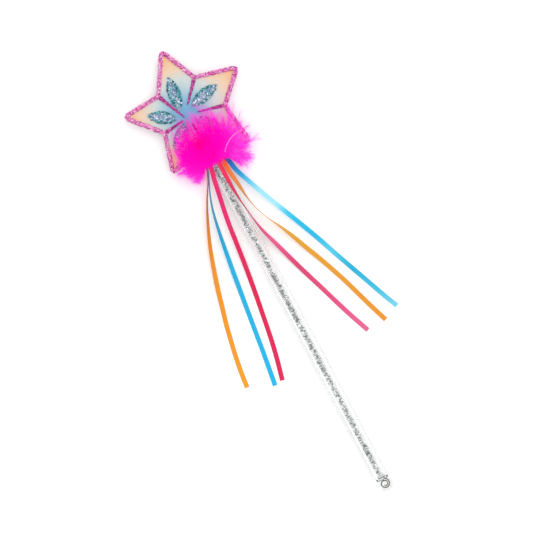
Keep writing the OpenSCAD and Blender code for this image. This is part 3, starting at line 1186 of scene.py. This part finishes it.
    @staticmethod
    def glitter_recipe() -> Recipe:
        """Gives the tree that lumps a line of glue and lays six-sided flakes on it."""
        faces_up, tip, thinness = 0.1, 0.45, 0.14
        recipe = Recipe("Glitter line")
        bench = recipe.bench
        lump, flake, density, facing, seed, gel, sparkle = recipe.sizes(
            Lump="Float", Flake="Float", Density="Float", Facing="Float", Seed="Int", Gel="Material",
            Flake_finish="Material",
        )
        normal = bench.add("GeometryNodeInputNormal")
        noise = bench.add("ShaderNodeTexNoise", RIPPLE).outputs[0]
        rise = bench.times(bench.maths("SUBTRACT", noise, 0.5), lump)
        inputs = {"Geometry": recipe.source.outputs[0], "Offset": bench.scaled(normal, rise)}
        glue = bench.add("GeometryNodeSetPosition", inputs)
        towards = bench.vectors("DOT_PRODUCT", normal, bench.xyz(z=facing)).outputs["Value"]
        lit = bench.maths("GREATER_THAN", towards, faces_up)
        inputs = {"Mesh": glue, "Selection": lit, "Density": density, "Seed": seed}
        spots = bench.add("GeometryNodeDistributePointsOnFaces", inputs)
        tilt = recipe.chance((-tip, -tip, 0.0), (tip, tip, math.tau), 31)
        rotation = recipe.turned(spots.outputs["Rotation"], tilt)
        inputs = {"Vertices": 6, "Radius": flake, "Depth": bench.times(flake, thinness)}
        disc = bench.add("GeometryNodeMeshCylinder", inputs)
        laid = recipe.placed(spots, disc, rotation, recipe.chance(0.65, 1.25, 32))
        tinted = recipe.note(laid, "tint", recipe.chance(0.0, 1.0, 33), "INSTANCE")
        flakes = recipe.coated(recipe.realized(tinted), sparkle)
        recipe.end(recipe.joined(recipe.coated(glue, gel), flakes))
        return recipe


@dataclass
class Puff:
    """The marabou puff: plumes that grow out of a cord round the neck.

    Its mouth, its stray quill, its quills' sway and its back plumes' heights are in millimetres.
    """

    nodes: dict[str, Piece]
    star: Star
    front_plumes: int = 580
    front_pieces: int = 6
    back_plumes: int = 92
    veil_share: float = 0.8
    veil_reach: Pair = (1.05, 1.36)
    dome_reach: Pair = (0.84, 1.06)
    fan_reach: Pair = (0.6, 0.97)
    fan_height: Pair = (1.0, 2.6)
    shortest: float = 6 * MM
    front_bow: float = 0.24
    back_bow: float = 0.08
    sway: float = 2.2
    quill_points: int = 12
    barbs: int = 112
    barb_length: float = 8.5 * MM
    barb_radius: float = 0.055 * MM
    curl: float = 2.6 * MM
    overhang: float = 4.4 * MM
    over_star: float = 8.9 * MM
    under_star: float = 3.0 * MM
    past_edge: float = 1.8 * MM
    edge_slope: float = 1.3
    softness: float = 0.8 * MM
    sink: float = 0.1
    floor: float = 0.2 * MM
    floor_slope: float = 0.15
    past_cord: float = 3 * MM
    cord_sink: float = 0.2 * MM
    mouth: tuple[Pair, ...] = ((-10.4, 90.0), (9.6, 91.4), (15.2, 77), (23, 60), (-27.4, 60), (-20.1, 73))
    stray: tuple[Pair, ...] = (
        (27, 103.6), (25, 103.4), (20, 102.4), (15.3, 100.5), (12, 98), (9.6, 95.6), (8.6, 94.2),
    )
    bulk: Pair = (-4.6 * MM, 108.7 * MM)
    dyed_cord: Finish = Thread("Magenta cord", ((0.0, "b3006e"), (1.0, "ff2fb4")))
    bare_quill: Finish = Moulded("White quill", "ffe6f6", "f7b4e2")

    def __post_init__(self) -> None:
        """Takes the cord's ring and the puff's outer skin from the frame."""
        self.down = Plume("Magenta down", middle=self.bulk)
        low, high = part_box("feather_cord")
        self.centre = (low + high) / 2
        self.ring = (high.x - low.x) / 2 - (high.y - low.y) / 2
        self.cord = (high.y - low.y) / 2
        mesh = self.nodes["feather_puff"].data
        points = [v.co.copy() for v in mesh.vertices]
        self.skin = BVHTree.FromPolygons(points, [tuple(p.vertices) for p in mesh.polygons])

    def build(self) -> None:
        """Makes and dresses the cord, the plumes and one stray quill."""
        self.core_cord()
        recipe = self.barb_recipe()
        rng = random.Random(8)
        tips = self.front_tips(rng)
        tips.sort(key=lambda tip: math.atan2(tip.y - self.centre.y, tip.x - self.centre.x))
        share = math.ceil(len(tips) / self.front_pieces)
        for number in range(self.front_pieces):
            tuft = tips[number * share : (number + 1) * share]
            self.plumes(recipe, f"plumes_front_{number + 1}", tuft, Side.FRONT, rng)
        self.plumes(recipe, "plumes_back", self.back_tips(rng), Side.BACK, rng)
        self.stray_quill()

    def core_cord(self) -> None:
        """Twists the two-ply cord that the plumes are bound to."""
        corners, twists = 160, 12
        path = [self.centre + self.ring * Vector((c, 0.0, s)) for c, s in circle(corners)]
        piece = plied("twisted_cord", path, self.cord / 2, twists, ring=True)
        finished(piece, "feather_cord", self.dyed_cord)

    def reach(self, heading: Vector, origin: Vector) -> float:
        """Measures how far the puff's outer skin lies from a point along a heading."""
        far = 80 * MM
        hit = self.skin.ray_cast(origin + heading * far, -heading, far)
        return far - hit[3] if hit[0] else 0.0

    def has_room(self, tip: Vector, reach: float) -> bool:
        """Tells whether a plume to a tip is long enough and clear of the mouth."""
        return reach > self.shortest and not self.in_mouth(np.array([tip]))[0]

    def front_tips(self, rng: random.Random) -> list[Vector]:
        """Spreads the front plumes' tips over the dome.

        Args:
            rng: The source of chance.

        Returns:
            The tips that have room.
        """
        tips = []
        golden = math.pi * (3 - math.sqrt(5))
        lowest, span, jitter = 0.04, 0.95, 0.15
        veil_from, veil_below = -0.1, 0.55
        for i in range(self.front_plumes):
            rise = lowest + span * (i + 0.5) / self.front_plumes
            turn = golden * i + rng.uniform(-jitter, jitter)
            level = math.sqrt(1 - rise * rise)
            heading = Vector((level * math.cos(turn), level * math.sin(turn), rise))
            reach = self.reach(heading, self.centre)
            veil = rng.random() < self.veil_share and heading.y > veil_from and rise < veil_below
            stretch = rng.uniform(*(self.veil_reach if veil else self.dome_reach))
            tip = self.centre + heading * reach * stretch
            if self.has_room(tip, reach):
                tips.append(tip)
        return tips

    def back_tips(self, rng: random.Random) -> list[Vector]:
        """Spreads the back plumes' tips in a flat fan behind the star.

        Args:
            rng: The source of chance.

        Returns:
            The tips that have room.
        """
        tips = []
        jitter = 0.4
        for i in range(self.back_plumes):
            turn = math.tau * (i + rng.uniform(-jitter, jitter)) / self.back_plumes
            heading = Vector((math.cos(turn), math.sin(turn), 0.0))
            low = Vector((self.centre.x, self.centre.y, rng.uniform(*self.fan_height) * MM))
            reach = self.reach(heading, low)
            tip = low + heading * reach * rng.uniform(*self.fan_reach)
            if self.has_room(tip, reach):
                tips.append(tip)
        return tips

    def quill(self, tip: Vector, side: Side, rng: random.Random) -> list[Vector]:
        """Gives a plume's quill as a bow from the cord to its tip.

        Args:
            tip: Where the plume ends.
            side: Which face of the star it grows on.
            rng: The source of chance.

        Returns:
            The quill's points.
        """
        apart, rising = 2 * MM, 0.3
        away = tip - self.centre
        spoke = Vector((away.x, 0.0, away.z + side.value * apart)).normalized()
        root = self.centre + spoke * self.ring
        bow = self.front_bow if side is Side.FRONT else self.back_bow
        sway = Vector([rng.uniform(-most, most) for most in (1, 1, rising)]) * self.sway * MM
        bend = root.lerp(tip, 0.5) + spoke * (tip - root).length * bow + sway
        steps = [i / (self.quill_points - 1) for i in range(self.quill_points)]
        return [root * (1 - t) ** 2 + bend * 2 * t * (1 - t) + tip * t * t for t in steps]

    def plumes(self, recipe: Recipe, name: str, tips: list[Vector], side: Side, rng: random.Random) -> None:
        """Makes one piece of many plumes.

        Args:
            recipe: The tree that grows barbs on quills.
            name: The piece's name.
            tips: Where the plumes end.
            side: Which face of the star they lie on.
            rng: The source of chance.
        """
        points, edges, shades = [], [], []
        for tip in tips:
            line = self.quill(tip, side, rng)
            edges += [(len(points) + i, len(points) + i + 1) for i in range(len(line) - 1)]
            points += line
            shades += [rng.random()] * len(line)
        piece = new_piece(name, points, edges=edges)
        mark_points(piece, "plume", shades)
        recipe.run(
            piece, Barbs=self.barbs, Barb_length=self.barb_length, Barb_radius=self.barb_radius,
            Curl=self.curl, Finish=self.down.material(),
        )
        self.press(piece, side)
        self.part_mouth(piece)
        finished(piece, "feather_puff")

    def in_mouth(self, rows: np.ndarray) -> np.ndarray:
        """Tells which places lie in the open side where the ribbons come out."""
        return within(rows, [(x * MM, y * MM) for x, y in self.mouth])

    def off_star(self, rows: np.ndarray) -> np.ndarray:
        """Measures how far places lie outside the star's edge, below 0 inside it."""
        edge = [spoke + self.star.middle for spoke in self.star.outline()]
        best = np.full(len(rows), np.inf)
        x, y = rows[:, 0], rows[:, 1]
        for a, b in zip(edge, edge[1:] + edge[:1]):
            run = b - a
            share = np.clip(((x - a.x) * run.x + (y - a.y) * run.y) / run.length_squared, 0, 1)
            best = np.minimum(best, np.hypot(x - a.x - share * run.x, y - a.y - share * run.y))
        return np.where(within(rows, edge), -best, best)

    def softly(self, gap: np.ndarray) -> np.ndarray:
        """Gives a gap that fades out smoothly instead of going below 0."""
        limit = 60
        return self.softness * np.log1p(np.exp(np.clip(gap / self.softness, -limit, limit)))

    def press(self, piece: Piece, side: Side) -> None:
        """Presses the down clear of the star, the stick and the floor, softly so that it keeps its depth.

        Args:
            piece: The plumes.
            side: Which face of the star they lie on.
        """
        never_zero = 1e-6
        rows = mesh_points(piece)
        slope = np.maximum(self.off_star(rows) - self.past_edge, 0) * self.edge_slope
        if side is Side.FRONT:
            least = np.maximum(self.over_star - slope, self.floor)
            rows[:, 2] = least + self.softly(rows[:, 2] - least) - self.softness * self.sink
        else:
            most = self.under_star + slope
            rows[:, 2] = most - self.softly(most - rows[:, 2])
        rows[:, 2] = np.maximum(rows[:, 2], self.floor + self.floor_slope * np.abs(rows[:, 2]))
        across = rows[:, (0, 2)] - np.array((self.centre.x, self.centre.z))
        distance = np.maximum(np.hypot(across[:, 0], across[:, 1]), never_zero)
        near_cord = rows[:, 1] < self.centre.y + self.past_cord
        least = np.where(near_cord, self.ring - self.cord_sink, 0.0)
        push = np.maximum(least / distance, 1.0)
        rows[:, 0] = self.centre.x + across[:, 0] * push
        rows[:, 2] = np.maximum(self.centre.z + across[:, 1] * push, self.floor)
        piece.data.vertices.foreach_set("co", rows.ravel())
        piece.data.update()

    def part_mouth(self, piece: Piece) -> None:
        """Takes away the barbs that would stand in the ribbons' way.

        Args:
            piece: The plumes.
        """
        numbers = np.empty(len(piece.data.vertices), np.int32)
        piece.data.attributes["barb"].data.foreach_get("value", numbers)
        rows = mesh_points(piece)
        hang = np.random.default_rng(5).uniform(0.0, self.overhang, numbers.max() + 1)
        rows[:, 1] += hang[numbers]
        blocked = np.unique(numbers[self.in_mouth(rows)])
        gone = np.isin(numbers, blocked[blocked > 0])
        shell = bmesh.new()
        shell.from_mesh(piece.data)
        shell.verts.ensure_lookup_table()
        bmesh.ops.delete(shell, geom=[shell.verts[int(i)] for i in np.flatnonzero(gone)], context="VERTS")
        shell.to_mesh(piece.data)
        shell.free()
        piece.data.attributes.remove(piece.data.attributes["barb"])

    def stray_quill(self) -> None:
        """Lays the one bare white quill on the puff's right side."""
        top, lift, unmet = 60 * MM, 1.6 * MM, 9 * MM
        thick, thinning = 0.2 * MM, 0.1 * MM
        path = []
        for x, y in self.stray:
            hit = self.skin.ray_cast(Vector((x * MM, y * MM, top)), -UP)
            height = hit[0].z if hit[0] else unmet
            path.append(Vector((x * MM, y * MM, height + lift)))
        radii = [thick - thinning * i / (len(path) - 1) for i in range(len(path))]
        piece = new_piece("stray_quill", *strand(path, radii, sides=6))
        close_up(piece, sharp=60.0)
        finished(piece, "feather_puff", self.bare_quill)

    @staticmethod
    def barb_recipe() -> Recipe:
        """Gives the tree that grows fine barbs along quills."""
        swell, root_swell = 2.2, 0.4
        root_lean, less_lean = 1.3, 0.4
        bare, full_swing, shaft, thinning = 0.06, 2.0, 1.6, 0.8
        recipe = Recipe("Plume barbs")
        bench = recipe.bench
        barbs, length, radius, curl, finish = recipe.sizes(
            Barbs="Int", Barb_length="Float", Barb_radius="Float", Curl="Float", Finish="Material",
        )
        line = bench.add("GeometryNodeMeshToCurve", {"Mesh": recipe.source.outputs[0]})
        share = bench.add("GeometryNodeSplineParameter").outputs["Factor"]
        quills = recipe.note(line, "quill", share, "POINT")
        grown = bench.add("GeometryNodeCurveToPoints", {"Curve": quills, "Count": barbs}, mode="COUNT")
        place = recipe.read("quill")
        spread = bench.maths("SINE", bench.maths("ADD", bench.times(place, swell), root_swell))
        drawn = bench.times(length, spread, recipe.chance(0.55, 1.25, 51))
        lean = bench.maths("SUBTRACT", root_lean, bench.times(place, less_lean))
        lean = bench.times(lean, recipe.chance(0.35, 1.0, 52))
        angles = bench.xyz(x=lean, z=recipe.chance(0.0, math.tau, 53))
        rotation = recipe.turned(recipe.aimed(grown.outputs["Tangent"]), angles)
        inputs = {"Vertices": 3, "Side Segments": 3, "Radius Top": 0.0, "Radius Bottom": radius}
        cone = bench.add("GeometryNodeMeshCone", inputs | {"Depth": 1.0})
        height = bench.parts(bench.add("GeometryNodeInputPosition"))["Z"]
        barb = recipe.note(cone, "along", height, "POINT")
        off_root = bench.maths("GREATER_THAN", place, bare)
        laid = recipe.placed(grown, barb, rotation, bench.xyz(1.0, 1.0, drawn), off_root)
        number = bench.maths("ADD", bench.add("GeometryNodeInputIndex"), 1.0)
        solid = recipe.realized(recipe.note(laid, "barb", number, "INSTANCE", "INT"))
        along = recipe.read("along")
        wave = bench.add("ShaderNodeTexNoise", RIPPLE).outputs[1]
        wave = bench.vectors("SUBTRACT", wave, (0.5, 0.5, 0.5))
        bent = bench.times(along, along, bench.times(curl, full_swing))
        inputs = {"Geometry": solid, "Offset": bench.scaled(wave, bent)}
        curled = bench.add("GeometryNodeSetPosition", inputs)
        inputs = {"Resolution": 3, "Radius": bench.times(radius, shaft)}
        ring = bench.add("GeometryNodeCurvePrimitiveCircle", inputs)
        taper = bench.maths("SUBTRACT", 1.0, bench.times(share, thinning))
        inputs = {"Curve": quills, "Profile Curve": ring, "Scale": taper, "Fill Caps": True}
        shafts = bench.add("GeometryNodeCurveToMesh", inputs)
        recipe.end(recipe.coated(recipe.realized(recipe.joined(shafts, curled)), finish))
        return recipe


@dataclass(frozen=True)
class Ribbon:
    """One satin ribbon: its shades with painted sheen, and its route in millimetres with its turns on edge
    in degrees.
    """

    name: str
    slot: str
    shades: Stops
    route: tuple[tuple[float, float, float, float], ...]

    @property
    def body(self) -> str:
        """Names the body that the ribbon swings with."""
        return f"{self.name}_ribbon"

    @property
    def satin(self) -> Satin:
        """Gives the ribbon's satin."""
        return Satin(f"{self.name.replace('_', ' ').capitalize()} satin", self.shades)


# Each ribbon's shades run from its root to its end; their pale stretches, most of all the right blue
# ribbon's, are painted sheen.
RIBBONS = (
    Ribbon(
        "left_orange", "orange_satin",
        ((0.0, "c96a24"), (0.2, "e8801c"), (0.5, "f29208"), (0.85, "f59c08"), (1.0, "f7a210")),
        (
            (-9, 90.5, 5, 80), (-13, 81.5, 5, 82), (-19.3, 71, 4.9, 76), (-24.7, 60.5, 4.5, 66),
            (-29.6, 49.5, 4, 53), (-33.9, 39, 3.4, 40), (-37.7, 28, 2.7, 28), (-41.2, 17, 1.9, 17),
            (-44.4, 6, 1.2, 9), (-47.5, -6, 0.6, 4), (-50.4, -17, 0.3, 0), (-53, -29, 0.3, 0),
            (-55.5, -41.5, 0.3, 0), (-57.5, -54, 0.3, 0), (-58.9, -66.5, 0.3, 0),
        ),
    ),
    Ribbon(
        "left_blue", "blue_satin",
        ((0.0, "5a4a8c"), (0.12, "5f86b0"), (0.25, "3ca2c4"), (0.45, "00b0de"), (1.0, "00baf0")),
        (
            (-8.2, 90.5, 8.8, 80), (-11.5, 82.5, 8.6, 82), (-15.7, 73, 7.6, 78), (-19.4, 62, 6.3, 68),
            (-21.9, 50.5, 5, 55), (-23.9, 39, 3.8, 42), (-25.7, 27.5, 2.8, 28), (-27.4, 16, 1.9, 16),
            (-29, 4.5, 1.1, 7), (-30.7, -8, 0.5, 2), (-32.4, -21, 0.3, 0), (-34.1, -34, 0.3, 0),
            (-35.8, -47, 0.3, 0), (-37.7, -60.5, 0.3, 0), (-39.85, -75, 0.3, 0),
        ),
    ),
    Ribbon(
        "left_pink", "pink_red_satin",
        ((0.0, "f4006a"), (0.25, "e81c70"), (0.4, "e2085a"), (0.62, "e40050"), (1.0, "e20a54")),
        (
            (-5.6, 90.5, 11.6, -15), (-7.9, 80.5, 10.6, -12), (-10, 69, 9, -8), (-12.1, 57.5, 7.2, -5),
            (-13.9, 46, 5.5, 0), (-15.2, 34.5, 4, 0), (-16.5, 23, 2.7, 0), (-17.9, 11.5, 1.6, 0),
            (-19.5, 0, 0.9, 0), (-21.2, -11.5, 0.5, 0), (-23, -23, 0.3, 0), (-24.9, -35, 0.3, 0),
            (-27.1, -47.5, 0.3, 0), (-29.8, -60, 0.3, 0), (-33.3, -74.1, 0.3, 0),
        ),
    ),
    Ribbon(
        "right_pink", "pink_red_satin",
        (
            (0.0, "f8104e"), (0.15, "ee1c56"), (0.3, "c23a5c"), (0.42, "e24a84"), (0.52, "ea5a92"),
            (0.66, "dc3a70"), (0.85, "e84a80"), (1.0, "ec6496"),
        ),
        (
            (1, 90.5, 11.2, 12), (1.1, 80, 10.8, 25), (1.2, 69, 10.8, 52), (1.9, 58, 10.6, 74),
            (3.2, 48.5, 9.6, 80), (4.4, 39.5, 7.4, 72), (6.5, 29.5, 5, 50), (9.9, 19, 3.2, 32),
            (13.1, 8.5, 2, 18), (17, -4, 1, 8), (21.2, -16.5, 0.5, 0), (25.5, -29, 0.3, 0),
            (29.8, -42, 0.3, 0), (34.5, -55.5, 0.3, 0), (40.4, -70.9, 0.3, 0),
        ),
    ),
    Ribbon(
        "right_orange", "orange_satin",
        (
            (0.0, "fb5a14"), (0.12, "f27c10"), (0.26, "d99a58"), (0.4, "efae52"), (0.55, "e6a222"),
            (1.0, "f0961a"),
        ),
        (
            (4.4, 90.5, 9, 28), (5, 80, 8.6, 24), (6.3, 69, 8.2, 42), (7.4, 58, 7.6, 72),
            (9.6, 48, 6.8, 83), (13.8, 37.5, 5.6, 82), (18.7, 28, 4.4, 62), (23.8, 17, 3, 34),
            (28.4, 5.5, 1.9, 15), (33.3, -6, 1, 6), (38, -18, 0.5, 0), (42.6, -30.5, 0.3, 0),
            (46.8, -43.5, 0.3, 0), (51, -56.5, 0.3, 0), (55.7, -70.2, 0.3, 0),
        ),
    ),
    Ribbon(
        "right_blue", "blue_satin",
        (
            (0.0, "2a5cc0"), (0.1, "0a8ad8"), (0.16, "08a4dc"), (0.21, "5ccef0"), (0.27, "a0ecfc"),
            (0.35, "a8eefc"), (0.41, "40d0f4"), (0.46, "08c0ea"), (0.57, "10bce8"), (0.65, "50d0ee"),
            (0.76, "08b2da"), (0.9, "3cc4e6"), (1.0, "7cd8f2"),
        ),
        (
            (7.6, 90.5, 6.6, 12), (9.7, 80.5, 6, 10), (13.4, 70, 5.3, 8), (17.8, 59, 4.4, 6),
            (22.5, 47.5, 3.5, 5), (27.3, 36.5, 2.7, 4), (32, 25.5, 1.9, 2), (36.6, 14.5, 1.3, 0),
            (41, 3.5, 0.8, 0), (45.3, -8, 0.5, 0), (49.8, -19.5, 0.3, 0), (54.3, -31, 0.3, 0),
            (58.8, -42.5, 0.3, 0), (63.3, -54, 0.3, 0), (68, -65, 0.3, 0),
        ),
    ),
)


@dataclass
class Ribbons:
    """The six satin ribbons and the thread that ties them on under the puff."""

    stick: Stick
    width: float = 3.5 * MM
    body_t: float = 0.24 * MM
    selvedge_t: float = 0.36 * MM
    selvedge_w: float = 0.3 * MM
    steps: int = 5
    tuck: float = 3.2 * MM
    tied_radius: float = 5.75 * MM
    bend: float = 14 * MM
    thread: float = 0.27 * MM
    wraps: float = 3.5
    whipping: Finish = Thread("Pink whipping")

    def build(self) -> None:
        """Makes and dresses the ribbons and their tie."""
        for ribbon in RIBBONS:
            self.strip(ribbon)
        self.tie()

    def stations(self, ribbon: Ribbon) -> list[Vector]:
        """Gives a smooth run of places and turns through a ribbon's route, from the tie on.

        Args:
            ribbon: The ribbon.

        Returns:
            Places in metres, each with its turn in degrees as a fourth number.
        """
        knots = [Vector((x * MM, y * MM, z * MM, turn)) for x, y, z, turn in ribbon.route]
        axis = Vector((self.stick.axis.x, 0.0, self.stick.axis.z))
        first = knots[0].to_3d()
        spoke = Vector((first.x - axis.x, 0.0, first.z - axis.z)).normalized()
        tied = axis + spoke * self.tied_radius
        knots.insert(0, Vector((tied.x, first.y + self.tuck, tied.z, knots[0].w)))
        padded = [knots[0] * 2 - knots[1], *knots, knots[-1] * 2 - knots[-2]]
        run = []
        for a, b, c, d in zip(padded, padded[1:], padded[2:], padded[3:]):
            for i in range(self.steps):
                t = i / self.steps
                bow = (a * 2 - b * 5 + c * 4 - d) * t**2
                curve = b * 2 + (c - a) * t + bow + (b * 3 - a - c * 3 + d) * t**3
                run.append(curve / 2)
        return [*run, knots[-1]]

    def section(self) -> list[Pair]:
        """Gives the ribbon's cross-section: a thin web between two thicker selvedges."""
        half, web, thick = self.width / 2, self.body_t / 2, self.selvedge_t / 2
        inner = half - self.selvedge_w
        upper = [(half, 0.5 * thick), (half - 0.3 * self.selvedge_w, thick), (inner, web), (0.0, web)]
        upper += [(-x, y) for x, y in upper[2::-1]]
        return upper + [(x, -y) for x, y in reversed(upper)]

    def strip(self, ribbon: Ribbon) -> None:
        """Sweeps one ribbon along its route.

        Args:
            ribbon: The ribbon.
        """
        run = self.stations(ribbon)
        path = [s.to_3d() for s in run]
        section = self.section()
        points, marks = [], []
        for i, middle in enumerate(path):
            along = heading_at(path, i)
            level = along.cross(UP).normalized()
            up = level.cross(along)
            turn = math.radians(run[i].w)
            across = level * math.cos(turn) + up * math.sin(turn)
            normal = up * math.cos(turn) - level * math.sin(turn)
            points += [middle + across * x + normal * y for x, y in section]
            marks += [(i / (len(path) - 1), x / self.width + 0.5) for x, _ in section]
        faces = skin(len(path), len(section), closed=False, capped=True)
        piece = new_piece(f"satin_{ribbon.name}", points, faces)
        strip = piece.data.uv_layers.new(name="strip")
        for loop in piece.data.loops:
            strip.data[loop.index].uv = marks[loop.vertex_index]
        close_up(piece, sharp=50.0)
        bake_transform(piece)
        finished(piece, f"ribbon_{ribbon.name}", ribbon.satin, body="")

    def tie(self) -> None:
        """Whips thread round the ribbons' roots."""
        low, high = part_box("ribbon_tie")
        piece = new_piece("thread_whipping", [low])
        self.whipping_recipe().run(
            piece, Radius=(high.x - low.x) / 2 - self.thread, Turns=self.wraps, Thread=self.thread,
            Width=high.y - low.y - 2 * self.thread,
            Place=Vector((self.stick.axis.x, low.y + self.thread, self.stick.axis.z)),
            Finish=self.whipping.material(),
        )
        finished(piece, "ribbon_tie")

    @staticmethod
    def whipping_recipe() -> Recipe:
        """Gives the tree that winds two layers of thread round the stick."""
        layer_gap = 1.7
        recipe = Recipe("Thread whipping")
        bench = recipe.bench
        radius, turns, thread, width, place, finish = recipe.sizes(
            Radius="Float", Turns="Float", Thread="Float", Width="Float", Place="Vector", Finish="Material",
        )
        ring = bench.add("GeometryNodeCurvePrimitiveCircle", {"Resolution": 8, "Radius": thread})
        layers = []
        for layer in range(2):
            inner = bench.maths("SUBTRACT", radius, bench.times(thread, layer_gap * layer))
            inputs = {
                "Resolution": 48, "Rotations": turns, "Start Radius": inner, "End Radius": inner,
                "Height": width, "Reverse": bool(layer),
            }
            wound = bench.add("GeometryNodeCurveSpiral", inputs)
            inputs = {"Curve": wound, "Profile Curve": ring, "Fill Caps": True}
            layers.append(bench.add("GeometryNodeCurveToMesh", inputs))
        along_stick = (-math.pi / 2, 0.0, 0.0)
        inputs = {"Geometry": recipe.joined(*layers), "Translation": place, "Rotation": along_stick}
        laid = bench.add("GeometryNodeTransform", inputs)
        recipe.end(recipe.coated(recipe.realized(laid), finish))
        return recipe


@dataclass
class Studio:
    """The white floor, the soft light and the camera straight above the wand."""

    view_height: float = 396.6 * MM
    distance: float = 1.2
    aim: Point = (-4.5 * MM, 5.2 * MM, 6 * MM)
    turn: float = -28.02
    sensor: float = 36.0
    floor_half: float = 6.0
    zenith: float = 1.0
    horizon: float = 0.32
    full_from: float = 0.55
    sun_from: Point = (0.62, 0.19, 0.8)
    sun_strength: float = 0.4
    sun_spread: float = 50.0

    def build(self) -> None:
        """Sets the stage up."""
        self.camera()
        self.floor()
        self.light()
        bpy.context.scene.view_settings.view_transform = "Standard"

    def camera(self) -> None:
        """Hangs the camera over the wand, turned as in the photograph."""
        lens = bpy.data.cameras.new("Camera")
        lens.sensor_width = self.sensor
        lens.lens = self.sensor * self.distance / self.view_height
        camera = bpy.data.objects.new("Camera", lens)
        camera.location = Vector(self.aim) + Vector((0.0, 0.0, self.distance))
        camera.rotation_euler = (0.0, 0.0, math.radians(self.turn))
        bpy.context.collection.objects.link(camera)
        bpy.context.scene.camera = camera

    def floor(self) -> None:
        """Lays the white floor."""
        half = self.floor_half
        corners = [(-half, -half, 0.0), (half, -half, 0.0), (half, half, 0.0), (-half, half, 0.0)]
        floor = new_piece("floor", corners, [(0, 1, 2, 3)])
        floor.data.materials.append(Paper("White floor").material())

    def light(self) -> None:
        """Lights the set from a bright ceiling and one broad lamp at the upper right."""
        lamp = bpy.data.lights.new("Key", "SUN")
        lamp.energy = self.sun_strength
        lamp.angle = math.radians(self.sun_spread)
        key = bpy.data.objects.new("Key", lamp)
        key.rotation_euler = Vector(self.sun_from).to_track_quat("Z", "Y").to_euler()
        bpy.context.collection.objects.link(key)
        world = bpy.data.worlds.new("Studio")
        world.use_nodes = True
        bpy.context.scene.world = world
        box = Paintbox(world.node_tree)
        rise = box.parts(box.add("ShaderNodeTexCoord").outputs["Generated"])["Z"]
        strength = box.remap(rise, (0.0, self.full_from), (self.horizon, self.zenith))
        box.settle(world.node_tree.nodes["Background"], Color=WHITE, Strength=strength)


def main() -> None:
    """Builds the studio and every sub-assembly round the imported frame."""
    logging.basicConfig(level=logging.INFO, format="%(name)s: %(message)s")
    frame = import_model()
    nodes = frame["nodes"]
    Studio().build()
    stick = Stick(nodes)
    Ribbons(stick).build()
    stick.build()
    star = Star(nodes, neck=stick.mouth, axis_x=stick.axis.x)
    star.build()
    Puff(nodes, star).build()


if __name__ == "__main__":
    main()
